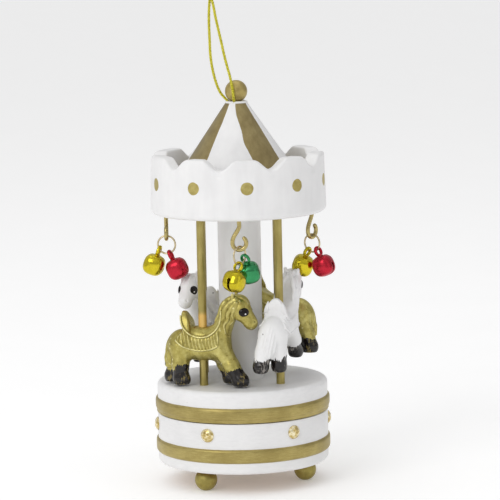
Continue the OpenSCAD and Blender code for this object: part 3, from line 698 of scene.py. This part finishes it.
line, s_at = resample(smooth_path(ROUTE, 8), 0.15)
tan, nu, nv = frames(line)
CORD_PITCH, CORD_R = 4.3, 0.315
verts, faces, fmat = [], [], []
# an inner tube under the strands carries the painted shade of the braid's gaps
cv, cf = tube(line, 0.30, 8, caps=True)
verts += cv
faces += cf
fmat += [1] * len(cf)
for way in (1, -1):
    for k in range(4):
        w = way * 2 * np.pi * s_at / CORD_PITCH + k * np.pi / 2 + (0.0 if way > 0 else 0.35)
        rr = CORD_R + way * 0.045 * np.cos(4 * np.abs(2 * np.pi * s_at / CORD_PITCH) - 0.7 * (way < 0))
        p = line + (rr * np.cos(w))[:, None] * nu + (rr * np.sin(w))[:, None] * nv
        sv, sf = tube(p, 0.165, 6, caps=True, base=len(verts))
        verts += sv
        faces += sf
        fmat += [0] * len(sf)
cord = make("cord", verts, faces, mats=(mat_cord, mat_gap_shade), face_mat=fmat)
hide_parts("hanging_cord")
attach(cord, "carousel")

# ------------------------------------------------------------------ horses
# One casting, drawn facing +X with its pole at the origin and its soles at z = 0.
SEAT_C, SEAT_R, CLOTH_R = (0.2, 25.0), 7.7, 12.8


def horse_body(x, y, z):
    torso = ell(x, y, z, (-0.5, 0, 14.2), (9.8, 4.4, 6.0))
    d = smin(torso, ell(x, y, z, (-7.6, 0, 13.8), (5.4, 4.5, 5.6)), 1.2)
    d = smin(d, ell(x, y, z, (5.6, 0, 14.6), (4.5, 4.1, 6.2)), 1.8)
    d = smin(d, limb(x, y, z, (5.2, 0, 15.5), (10.2, 0, 27.0), 4.1, 3.2, 1.05), 1.8)
    for a, b, c, ra, rb, rc in (
            ((-7.8, -1.2, 13), (-7.9, -2.3, 7), (-7.6, -2.8, 2.6), 4.1, 3.0, 2.7),
            ((-8.9, 1.2, 12.6), (-10.8, 2.2, 7), (-12.5, 2.5, 2.6), 3.9, 3.0, 2.7),
            ((7.0, -1.2, 13), (11.0, -2.3, 7.0), (14.2, -2.8, 2.5), 3.6, 2.9, 2.6),
            ((6.0, 1.2, 13), (7.4, 2.2, 7.0), (9.2, 2.6, 2.5), 3.6, 2.9, 2.6)):
        leg = smin(limb(x, y, z, a, b, ra, rb), limb(x, y, z, b, c, rb, rc), 1.0)
        leg = smin(leg, ell(x, y, z, (c[0] + 0.3, c[1], 1.6), (3.2, 2.6, 2.8)), 1.2)
        d = smin(d, leg, 1.6)
    return d


def horse_head(x, y, z):
    d = ell(x, y, z, (13.8, 0, 27.8), (3.75, 3.05, 3.95), 12)
    d = smin(d, limb(x, y, z, (15.0, 0, 26.2), (17.9, 0, 22.2), 3.1, 2.55, 1.0), 1.4)
    cheek = ell(x, np.abs(y), z, (14.6, 1.6, 25.2), (2.4, 1.4, 2.2))
    d = smin(d, cheek, 1.0)
    nose = np.sqrt((x - 19.9) ** 2 + (np.abs(y) - 1.45) ** 2 + (z - 22.9) ** 2) - 0.38
    return smax(d, -nose, 0.3)


def horse_core(x, y, z):
    return smin(horse_body(x, y, z), horse_head(x, y, z), 1.2)


def on_side(x, z, depth):
    """The sideways place where the body's surface is, for hair laid on it."""
    lo, hi = 0.0, 6.0
    for _ in range(22):
        mid = 0.5 * (lo + hi)
        if float(horse_core(np.array([x]), np.array([mid]), np.array([z]))[0]) < 0:
            lo = mid
        else:
            hi = mid
    return max(0.35, lo - depth)


def hair(points, r0, r1, depth=0.25):
    p = smooth_path([(a, 0.0, b) for a, b in points], 4)
    out = []
    for k, q in enumerate(p):
        t = k / (len(p) - 1)
        out.append((q[0], on_side(q[0], q[2], depth), q[2], r0 + (r1 - r0) * t ** 1.5))
    return out


LOCKS = [
    hair([(12.6, 31.2), (10.0, 30.4), (8.0, 28.4), (7.2, 25.6), (6.0, 23.2), (6.0, 20.8)], 1.05, 0.50, 0.12),
    hair([(13.0, 30.6), (10.9, 29.2), (9.2, 27.0), (8.6, 24.4), (7.4, 22.2), (7.6, 19.8)], 1.05, 0.45, 0.10),
    hair([(13.2, 29.6), (11.8, 27.9), (10.4, 25.8), (10.2, 23.6), (9.0, 21.6), (9.2, 18.8)], 0.95, 0.35, 0.10),
    hair([(13.2, 28.8), (12.5, 27.0), (11.8, 25.2), (11.9, 23.4), (10.9, 21.8)], 0.75, 0.30, 0.15),
    hair([(13.0, 31.4), (14.6, 31.4), (16.2, 30.4), (17.2, 29.0)], 0.80, 0.30, 0.20),
    hair([(12.4, 30.6), (14.0, 30.4), (15.2, 29.4)], 0.65, 0.25, 0.20),
]


def horse_sdf(x, y, z):
    core = horse_core(x, y, z)
    ya = np.abs(y)
    # cantle: a tall thin fin that leans back, rounded seen from behind
    bow = x + 5.35 + 0.012 * (z - 17.0) ** 2 * np.where(z > 17, 1, 0)
    fin = smax(smax(np.abs(bow) - 1.05, np.sqrt((y / 4.0) ** 2 + (np.clip(z - 14.0, 0, None) / 10.4) ** 2) * 4.0 - 4.0, 0.9), 12.0 - z, 0.5)
    back = smin(core, fin, 0.9)
    rr = np.sqrt((x - SEAT_C[0]) ** 2 + (z - SEAT_C[1]) ** 2)
    # saddle cloth with a pleated fringe
    ribs = 0.12 * np.cos((x + 0.25 * (z - 15)) * 2 * np.pi / 1.25) * np.clip((rr - SEAT_R - 0.5) / 0.6, 0, 1)
    cloth = smax(back - (0.42 + ribs), rr - CLOTH_R, 0.25)
    cloth = smax(cloth, x - 7.1, 0.25)
    cloth = smax(cloth, -0.8 * (x + 6.4) + 0.6 * (z - 19.7), 0.25)
    d = smin(back, cloth, 0.15)
    hem = np.sqrt((rr - CLOTH_R + 0.25) ** 2 + (back - 0.38) ** 2) - 0.34
    hem = smax(smax(hem, x - 7.0, 0.2), -0.8 * (x + 6.2) + 0.6 * (z - 19.7), 0.2)
    d = smin(d, hem, 0.2)
    # seat inside its raised rim
    seat = smax(back - 0.62, rr - SEAT_R, 0.2)
    d = smin(d, seat, 0.12)
    rim = np.sqrt((rr - SEAT_R) ** 2 + (back - 0.62) ** 2) - 0.40
    rim = smax(rim, z - 27.0, 0.3)
    rim = smax(rim, 2.4 - ya, 0.4)
    d = smin(d, rim, 0.18)
    # hollow of the seat
    scoop = np.sqrt((x - 0.9) ** 2 + (z - 27.2) ** 2) - 6.6
    d = smax(d, -smax(scoop, ya - 6.0, 0.3), 0.6)
    # ears
    ear = limb(x, ya, z, (12.3, 1.75, 30.2), (12.0, 2.35, 32.4), 1.15, 0.62)
    ear = smax(ear, -(np.sqrt((x - 13.3) ** 2 + (ya - 2.5) ** 2 + (z - 31.9) ** 2) - 0.75), 0.3)
    d = smin(d, ear, 0.5)
    # mane and forelock
    for lock in LOCKS:
        g = None
        for (ax, ay, az, ar), (bx, by, bz, br) in zip(lock[:-1], lock[1:]):
            v = limb(x, ya, z, (ax, ay, az), (bx, by, bz), ar, br)
            g = v if g is None else np.minimum(g, v)
        d = smin(d, g, 0.16)
    # tail
    tail = ell(x, y, z, (-11.4, 0, 11.4), (2.6, 2.7, 6.2), -6)
    tail = smin(tail, limb(x, y, z, (-12.6, 0.0, 8.6), (-13.4, 0.0, 6.4), 1.9, 1.0), 1.0)
    tail = tail + 0.13 * np.cos((y + 0.10 * (z - 12)) * 2 * np.pi / 1.05) * np.clip((-10.8 - x) / 0.8, 0, 1)
    d = smin(d, tail, 0.30)
    # flat soles
    return smax(d, -z, 0.25)


HV, HQ = net(horse_sdf, (-17.2, -6.6, -0.6), (21.6, 6.6, 34.2), 0.23)


def eyes(name, mat, white):
    """Glossy oval eyes, each with a painted highlight: a small white glint dot."""
    verts, faces, fm = [], [], []
    for side in (-1, 1):
        n, k = 24, 7
        ey = on_side(16.15, 26.4, 0.0)
        c = np.array([16.15, side * (ey - 0.42), 26.35])
        nrm = np.array([0.34, side * 0.93, 0.10])
        nrm /= np.linalg.norm(nrm)
        e1 = np.cross([0, 0, 1.0], nrm)
        e1 /= np.linalg.norm(e1)
        e2 = np.cross(nrm, e1)
        # the second part is the painted highlight, a small white glint dot on the eye's lower front
        for part, (cc, rx, rz, ry) in enumerate((((0, 0), 1.85, 1.66, 0.80), ((0.55 * (-side), -0.62), 0.30, 0.28, 0.14))):
            o = c + e1 * cc[0] + e2 * cc[1]
            if part:
                o = o + nrm * 0.80 * math.sqrt(max(0, 1 - (cc[0] / 1.85) ** 2 - (cc[1] / 1.62) ** 2)) * 0.97
            base = len(verts)
            for j in range(2 * k + 1):
                ph = math.pi * j / (2 * k)
                if j in (0, 2 * k):
                    verts.append(tuple(o + nrm * ry * math.cos(ph)))
                    continue
                for i in range(n):
                    t = 2 * math.pi * i / n
                    verts.append(tuple(o + e1 * rx * math.sin(ph) * math.cos(t) + e2 * rz * math.sin(ph) * math.sin(t)
                                       + nrm * ry * math.cos(ph)))
            ringi = lambda j: base + 1 + (j - 1) * n
            flip = side < 0
            for j in range(2 * k):
                for i in range(n):
                    i2 = (i + 1) % n
                    if j == 0:
                        f = (base, ringi(1) + i, ringi(1) + i2)
                    elif j == 2 * k - 1:
                        f = (ringi(2 * k - 1) + i2, ringi(2 * k - 1) + i, ringi(2 * k - 1) + n)
                    else:
                        f = (ringi(j) + i, ringi(j + 1) + i, ringi(j + 1) + i2, ringi(j) + i2)
                    faces.append(f)
                    fm.append(part)
    return make(name, verts, faces, mats=(mat, white), face_mat=fm)


# node, place of its pole, height of its soles, turn, rearing angle, sideways tilt, gold, seed
HORSES = (("horse_gold_front", -45, 0.7, 28, 0, 0, True, 31.0), ("horse_white_front", 45, 6.4, 28, 4.5, 6, False, 32.0),
          ("horse_gold_back", 135, 7.5, 28, 0, 0, True, 33.0), ("horse_white_back", 225, 5.0, 24, 4, 0, False, 34.0))
for name, a, lift, yaw, rear, roll, gold, seed in HORSES:
    o = make(name + "_cast", HV, HQ, mats=(horse_mat("horse_" + name[6:], seed, gold, tail_smear=(name == "horse_gold_front")),))
    # the eyes' second slot, white paint, colours their painted highlight
    e = eyes(name + "_eyes", mat_eye, mat_white)
    t = math.radians(a)
    place = (Matrix.Rotation(t, 4, "Z") @ Matrix.Translation((0, -19.3 * MM, (37.2 + lift) * MM))
             @ Matrix.Rotation(math.radians(yaw), 4, "Z") @ Matrix.Translation((0, 0, 15 * MM))
             @ Matrix.Rotation(math.radians(-rear), 4, "Y") @ Matrix.Rotation(math.radians(roll), 4, "X") @ Matrix.Translation((0, 0, -15 * MM)))
    o.matrix_world = place
    e.matrix_world = place
    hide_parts(name)
    for p in (o, e):
        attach(p, "carousel")

# ------------------------------------------------------------------ turned and painted wooden parts
prof = ([(0, 27.85), (10.5, 27.85), (10.5, 33.2), (26.6, 33.2), (27.0, 32.7), (27.0, 26.15)]
        + [(30.75, 26.15), (30.98, 26.28), (31.0, 26.6), (31.0, 27.15), (31.03, 27.35)]
        + [(31.12, 27.45), (31.28, 27.7), (31.37, 28.1), (31.4, 28.7), (31.4, 29.9), (31.36, 30.5), (31.22, 30.95), (31.0, 31.22), (30.78, 31.33)]
        + [(30.66, 31.42), (30.64, 31.7)] + [(30.64, 33.2)]
        + [(28.84 + 1.8 * math.cos(t), 35.4 + 1.8 * math.sin(t)) for t in np.radians(np.arange(0, 91, 9))] + [(20, 37.2), (0, 37.2)])
o = lathe("turntable_turned", prof, 300, sharp=40, mats=(mat_table,))
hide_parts("turntable")
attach(o, "carousel")

prof = ([(27.0, 7.6), (28.6, 7.6)] + [(28.9 + 1.75 * math.cos(t), 9.35 + 1.75 * math.sin(t)) for t in np.radians(np.arange(-90, 1, 10))]
        + [(30.66, 11.4), (30.68, 11.75), (30.78, 11.85), (30.9, 11.95)]
        + [(31.1, 12.1), (31.28, 12.4), (31.37, 12.8), (31.4, 13.4), (31.4, 15.2), (31.37, 15.8), (31.26, 16.25), (31.05, 16.5), (30.82, 16.6)]
        + [(30.7, 16.7), (30.68, 17.0)] + [(30.68, 25.5), (30.55, 25.8), (26.0, 25.8), (26.0, 24.3), (27.0, 24.3)])
o = lathe("drum_turned", prof + [prof[0]], 300, sharp=40, mats=(mat_drum,))
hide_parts("base_drum")
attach(o, "base")

# canopy: a thick wall with its rim cut into rounded tips
TIP_DZ = (0.0, 0.2, -0.15, 0.25, 0.1, -0.2, 0.2, 0.0, 0.2)


def rim_top(r, th):
    """Height of the rim at radius r and angle th: hand-cut scoops between rounded tips."""
    deg = np.degrees(th) % 360
    u = np.full(len(th), 1e3)
    for a in SCOOPS:
        u = np.minimum(u, np.abs(r * np.radians((deg - a + 180) % 360 - 180)))
    near = np.array([min(range(len(TIPS)), key=lambda k: abs((d - TIPS[k] + 180) % 360 - 180)) for d in deg])
    s = np.clip(u / 6.4, 0, 1)
    s = 0.5 - 0.5 * np.cos(np.pi * s)
    dome = -0.25 * np.clip((7.6 - u) / 7.6, 0, 1) ** 2
    return 115.35 + (3.65 + np.array(TIP_DZ)[near] * 0.6 + dome) * s


def canopy(name, n=720):
    th = np.arange(n) * 2 * np.pi / n
    rows = []
    bot = arc(29.5, 99.6, 1.9, -90, 0, 8)
    rows.append((0.0, 97.7, 0))
    rows.append((24.0, 97.7, 0))
    for r, z in bot:
        rows.append((r, z - 0.0, 0))
    for z in np.linspace(101.5, 113.0, 12):
        rows.append((31.4 - 0.45 * (z - 99.6) / 19, z, 0))
    ro, ri, rd, rdi = 30.95, 25.9, 1.15, 0.8
    rows.append((ro, None, -2.2))
    for t in np.radians(np.arange(0, 91, 11.25)):
        rows.append((ro - rd + rd * math.cos(t), None, -rd + rd * math.sin(t)))
    for r in np.linspace(ro - rd, ri + rdi, 6)[1:-1]:
        rows.append((r, None, 0.0))
    for t in np.radians(np.arange(90, 181, 15)):
        rows.append((ri + rdi + rdi * math.cos(t), None, -rdi + rdi * math.sin(t)))
    rows.append((ri, None, -2.0))
    for z in np.linspace(112.0, 106.0, 5):
        rows.append((ri, z, 0))
    for t in np.radians(np.arange(0, -91, -22.5)):
        rows.append((25.1 + 0.8 * math.cos(t), 105.6 + 0.8 * math.sin(t), 0))
    rows.append((20.0, 104.8, 0))
    rows.append((0.0, 104.8, 0))
    verts, idx = [], []
    for r, z, dz in rows:
        if r < 1e-9:
            idx.append([len(verts)])
            verts.append((0, 0, z))
            continue
        zz = np.full(n, z) if z is not None else rim_top(r, th) + dz
        start = len(verts)
        verts.extend(zip(r * np.sin(th), -r * np.cos(th), zz))
        idx.append(range(start, start + n))
    faces = []
    for a, b in zip(idx[:-1], idx[1:]):
        for i in range(n):
            j = (i + 1) % n
            if len(a) == 1:
                faces.append((a[0], b[j], b[i]))
            elif len(b) == 1:
                faces.append((a[i], a[j], b[0]))
            else:
                faces.append((a[i], a[j], b[j], b[i]))
    return make(name, verts, faces, sharp=55, mats=(mat_crown,))


o = canopy("canopy_turned")
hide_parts("canopy_crown")
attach(o, "carousel")

cone_r = lambda z: 3.5 + (137.3 - z) * 0.687
prof = ([(0, 104.85), (cone_r(104.85), 104.85)] + [(cone_r(z), z) for z in np.linspace(106, 136.3, 24)]
        + [(cone_r(136.6) + 0.02, 136.6), (cone_r(136.6) + 0.16, 136.75), (3.98, 137.0), (3.86, 137.25), (3.6, 137.36), (3.0, 137.4)]
        + [(2.2, 137.1), (1.0, 136.82), (0, 136.76)])
o = lathe("roof_turned", prof, 256, sharp=40, mats=(mat_cone,))
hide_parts("cone_roof")
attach(o, "carousel")

prof = [(0, 34.45), (6.0, 34.45), (6.0, 37.2), (7.7, 37.2), (7.7, 37.5)] + [(7.7, z) for z in np.linspace(40, 95, 12)] + [(7.7, 97.8), (6.0, 97.8), (6.0, 100.8), (0, 100.8)]
o = lathe("column_turned", prof, 160, sharp=40, mats=(mat_white,))
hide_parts("centre_column")
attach(o, "carousel")

verts, faces = [], []
for a in (-45, 45, 135, 225):
    c = turn_a(a) @ np.array([0, -19.3, 0])
    n, rings = 48, [(0.0, 34.1), (1.25, 34.1), (1.5, 34.35)] + [(1.5, z) for z in np.linspace(37, 98, 14)] + [(1.5, 100.55), (1.25, 100.8), (0.0, 100.8)]
    prev = None
    for r, z in rings:
        start = len(verts)
        if r == 0:
            verts.append((c[0], c[1], z))
            cur = [start]
        else:
            wob_r = r * (1 + 0.006 * math.sin(z * 0.7 + a))
            for i in range(n):
                t = 2 * math.pi * i / n
                verts.append((c[0] + wob_r * math.sin(t), c[1] - wob_r * math.cos(t), z))
            cur = list(range(start, start + n))
        if prev:
            for i in range(n):
                j = (i + 1) % n
                if len(prev) == 1:
                    faces.append((prev[0], cur[j], cur[i]))
                elif len(cur) == 1:
                    faces.append((prev[i], prev[j], cur[0]))
                else:
                    faces.append((prev[i], prev[j], cur[j], cur[i]))
        prev = cur
o = make("poles_painted", verts, faces, sharp=40, mats=(mat_poles,))
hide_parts("horse_poles")
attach(o, "carousel")

# finial ball, sitting in the roof's lip
prof = [(0, 136.75)] + [(4.0 * math.sin(t), 140.75 - 4.0 * math.cos(t)) for t in np.linspace(0.06, math.pi - 0.06, 60)] + [(0, 144.75)]
o = lathe("finial_turned", prof, 96, sharp=None, mats=(mat_ball,))
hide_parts("finial_ball")
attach(o, "carousel")

# screw hooks: a shank with a bend into an open eye
# place, turn of the hook's eye, how far it is screwed out, turn of the ring, rise of the ring
HOOKS = (("front", 0, 0, 0.5, -40, 0.1), ("right", 90, -38, 0, -36, 0), ("back", 180, 110, 0, 120, 0), ("left", 270, 0, -0.5, -12, 0))
HOOK_PCR, HOOK_W, HOOK_Z, HOOK_EYE = 26.1, 0.75, 90.1, 2.4
verts, faces = [], []
for _, a, turn, out, _, _ in HOOKS:
    R = turn_a(a)
    pts = [(0.0, 101.4 + out), (0.0, 99.0), (0.02, 97.2), (0.05, 95.9), (-0.35, 94.9), (-1.15, 93.6), (-1.95, 92.2), (-2.36, 91.1)]
    pts += [(HOOK_EYE * math.cos(math.radians(t)), HOOK_Z + HOOK_EYE * math.sin(math.radians(t))) for t in range(180, 412, 16)]
    p = smooth_path([(q[0], 0.0, q[1] - out) for q in pts], 5)
    p, s = resample(p, 0.22)
    rad = np.full(len(p), HOOK_W)
    screw = p[:, 2] > 97.9
    rad[screw] = HOOK_W - 0.05 + 0.05 * np.cos(p[screw, 2] * 2 * math.pi / 0.62)
    v, f = tube(p, rad, 16, caps=True, base=len(verts))
    T = turn_a(turn)
    verts += [tuple(R @ (T @ np.array(q) + np.array([0, -HOOK_PCR, 0]))) for q in v]
    faces += f
o = make("hooks_bent", verts, faces, mats=(mat_hook,))
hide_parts("screw_hooks")
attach(o, "carousel")

# rhinestones: cut domes on a thin gold edge
verts, faces = [], []
for k in range(6):
    a = -24.5 + 60 * k
    R = turn_a(a)
    spin = rng.uniform(0, 30)
    rows = [(0.0, 0.0, 0, 1), (2.30, 0.0, 0, 24), (2.45, 0.16, 0, 24), (2.42, 0.42, 0, 24), (1.95, 0.92, 7.5, 12), (1.32, 1.28, 22.5, 12), (0.70, 1.44, 7.5, 12), (0.0, 1.47, 0, 1)]
    idx = []
    for r, d, rot, cnt in rows:
        start = len(verts)
        for i in range(cnt):
            t = math.radians(spin + rot + 360 * i / cnt)
            p = np.array([r * math.cos(t), -30.55 - d, 21.7 + r * math.sin(t)])
            verts.append(tuple(R @ p))
        idx.append(list(range(start, start + cnt)))
    for a_, b_ in zip(idx[:-1], idx[1:]):
        na, nb = len(a_), len(b_)
        if na == 1:
            faces += [(a_[0], b_[(i + 1) % nb], b_[i]) for i in range(nb)]
        elif nb == 1:
            faces += [(a_[i], a_[(i + 1) % na], b_[0]) for i in range(na)]
        elif na == nb and na == 24:
            faces += [(a_[i], a_[(i + 1) % na], b_[(i + 1) % nb], b_[i]) for i in range(na)]
        elif na == 24:
            for i in range(12):
                faces.append((a_[2 * i], a_[2 * i + 1], b_[i]))
                faces.append((a_[2 * i + 1], a_[(2 * i + 2) % 24], b_[i]))
                faces.append((a_[(2 * i + 2) % 24], b_[(i + 1) % 12], b_[i]))
        else:
            sft = 1 if rows[idx.index(a_)][2] < 10 else 0
            for i in range(12):
                j = (i + 1) % 12
                if sft:
                    faces.append((a_[i], a_[j], b_[i]))
                    faces.append((a_[j], b_[j], b_[i]))
                else:
                    faces.append((a_[i], b_[(i + 1) % 12], b_[i]))
                    faces.append((a_[i], a_[j], b_[(i + 1) % 12]))
o = make("gems_cut", verts, faces, smooth=False, mats=(mat_gem,))
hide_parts("base_gems")
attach(o, "base")

# ------------------------------------------------------------------ jingle bells
# Thin spun shells, a little square, with one sawn slot that ends in round holes.
BELL_R, EYE_C, EYE_M, EYE_W = 3.78, 5.45, 1.60, 0.42


def bell_sdf(x, y, z):
    p = 2.7
    q = (np.abs(x) ** p + np.abs(y) ** p + np.abs(z) ** p) ** (1 / p)
    d = (q - BELL_R) * 0.97
    shell = smax(d, -(d + 0.42), 0.08)
    slot = smax(np.abs(y) - 0.46, z + 0.35, 0.1)
    hole = np.sqrt(y ** 2 + (z + 0.55) ** 2) - 0.72
    cut = smin(slot, smax(hole, 1.0 - np.abs(x), 0.1), 0.15)
    shell = smax(shell, -cut, 0.12)
    neck = np.sqrt(x ** 2 + y ** 2 + ((z - 3.85) * 1.4) ** 2) - 0.95
    shell = smin(shell, smax(neck, -(z - 3.2), 0.1), 0.3)
    eye = np.sqrt((np.sqrt(x ** 2 + (z - EYE_C) ** 2) - EYE_M) ** 2 + (y / 1.5) ** 2) - EYE_W
    return smin(shell, eye, 0.15)


BV, BQ = net(bell_sdf, (-4.5, -4.5, -4.5), (4.5, 4.5, 7.9), 0.165)
RING_M = 3.2
# colours, places on the ring and leans of the outer and the inner bell, and how far each is spun
BELLS = {"front": (("gold", 10, 25, 97), ("green", 66, 22, 40)), "right": (("red", 45, 24, 100), ("gold", 35, 23, 125)),
         "back": (("gold", 38, 23.5, 60), ("green", 38, 23.5, -30)), "left": (("gold", 58, 20.5, 90), ("red", 20, 25, 90))}
for n_, a, _, out, turn, rise in HOOKS:
    zc = HOOK_Z - out - HOOK_EYE + HOOK_W + 0.33 + 0.06 + rise - RING_M
    for side, which, (col, seat, lean, spin) in zip((1, -1), ("outer", "inner"), BELLS[n_]):
        key = n_ + "_" + which
        arm = 5.45 + 1.5 - 0.63 - max(0.08, 0.04 + 0.5 * math.tan(math.radians(seat - lean)) ** 2)
        seat = math.radians(seat)
        M = (Matrix.Rotation(math.radians(a), 4, "Z") @ Matrix.Translation((0, -HOOK_PCR, zc))
             @ Matrix.Rotation(math.radians(turn), 4, "Z") @ Matrix.Translation((0, -side * RING_M * math.sin(seat), -RING_M * math.cos(seat)))
             @ Matrix.Rotation(math.radians(-side * lean), 4, "X") @ Matrix.Translation((0, 0, -arm)))
        M = np.array(M)
        co = np.array(BV)
        t = math.radians(spin)
        w = np.clip((3.75 - co[:, 2]) / 0.6, 0, 1)
        ct, st = np.cos(t * w), np.sin(t * w)
        co = np.stack([ct * co[:, 0] - st * co[:, 1], st * co[:, 0] + ct * co[:, 1], co[:, 2]], axis=1)
        co = co @ M[:3, :3].T + M[:3, 3]
        o = make("bell_" + key + "_spun", co, BQ, mats=(mat_bell[col],))
        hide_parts("bell_" + key)
        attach(o, "bell_" + key)

# ------------------------------------------------------------------ the CAD nodes that stay, with better finishes
FINISH = {
    "ball_feet": mat_feet, "bottom_cover": mat_board, "cover_screws": mat_steel, "movement_plate": mat_plate,
    "arbor_bush": mat_brass, "wrap_spring": mat_steel, "comb": mat_steel, "comb_screws": mat_brass,
    "cylinder_bearings": mat_brass, "governor_bridge": mat_brass, "winding_arbor": mat_steel, "winding_key": mat_brass,
    "pin_cylinder": mat_brass, "cylinder_pinion": mat_brass, "governor_wheel": mat_brass, "governor_fan": mat_plate,
    "spring_barrel": mat_brass, "mainspring": mat_steel, "barrel_cover": mat_brass, "barrel_screws": mat_steel,
}
for name, obj in NODES.items():
    mt = FINISH.get(name)
    if mt is None and name.startswith("ring_"):
        mt = mat_ring
    if mt is None and name.startswith("pellet_"):
        mt = mat_pellet
    if mt is not None:
        obj.data.materials.clear()
        obj.data.materials.append(mt)

# ------------------------------------------------------------------ floor and light
fm = Mat("floor_pale", rough=0.9, spec=0.1)
fm.b.inputs["Emission Color"].default_value = (1, 1, 1, 1)
fm.b.inputs["Emission Strength"].default_value = 0.17
g = fm.noise(30, 3, 0.5, seed=1.0)
fm.set(Base_Color=fm.ramp(g, ((0.3, (0.93, 0.93, 0.93)), (0.7, (0.945, 0.945, 0.945)))))
fv = [(0, 0, 0)] + [(40000 * math.cos(t), 40000 * math.sin(t), 0) for t in np.linspace(0, 2 * math.pi, 65)[:-1]]
floor = make("floor", fv, [(0, i, i % 64 + 1) for i in range(1, 65)], smooth=False, mats=(fm.m,))

w = bpy.data.worlds.new("studio")
scene.world = w
w.use_nodes = True
wt = w.node_tree
bg = wt.nodes["Background"]
tc = wt.nodes.new("ShaderNodeTexCoord")
dot = wt.nodes.new("ShaderNodeVectorMath")
dot.operation = "DOT_PRODUCT"
dot.inputs[1].default_value = Vector((-0.42, -0.12, 0.90)).normalized()
wt.links.new(tc.outputs["Generated"], dot.inputs[0])
rampn = wt.nodes.new("ShaderNodeValToRGB")
cr = rampn.color_ramp
cr.elements[0].position, cr.elements[0].color = 0.0, (0.26, 0.26, 0.27, 1)
cr.elements[1].position, cr.elements[1].color = 1.0, (1.0, 1.0, 1.0, 1)
mr = wt.nodes.new("ShaderNodeMapRange")
mr.inputs["From Min"].default_value, mr.inputs["From Max"].default_value = -1.0, 1.0
wt.links.new(dot.outputs["Value"], mr.inputs["Value"])
wt.links.new(mr.outputs[0], rampn.inputs[0])
lp = wt.nodes.new("ShaderNodeLightPath")
mx = wt.nodes.new("ShaderNodeMix")
mx.data_type = "RGBA"
wt.links.new(lp.outputs["Is Camera Ray"], mx.inputs[0])
wt.links.new(rampn.outputs[0], mx.inputs[6])
mx.inputs[7].default_value = (0.95, 0.95, 0.95, 1)
wt.links.new(mx.outputs[2], bg.inputs["Color"])
bg.inputs["Strength"].default_value = 0.83


def softbox(name, loc, look, size, power):
    d = bpy.data.lights.new(name, "AREA")
    d.shape = "RECTANGLE"
    d.size, d.size_y = size
    d.energy = power
    o = bpy.data.objects.new(name, d)
    scene.collection.objects.link(o)
    o.location = loc
    o.rotation_euler = (Vector(look) - Vector(loc)).to_track_quat("-Z", "Y").to_euler()
    return o


softbox("key", (-0.55, -0.75, 0.62), (0, 0, 0.08), (0.55, 0.55), 2.8)
softbox("fill", (0.85, -0.55, 0.30), (0, 0, 0.08), (0.5, 0.7), 0.5)
softbox("top", (0.0, 0.15, 1.0), (0, 0, 0.05), (0.7, 0.7), 1.0)

scene.view_settings.view_transform = "Standard"
scene.view_settings.look = "None"
scene.view_settings.exposure = 0.0
scene.view_settings.gamma = 1.0

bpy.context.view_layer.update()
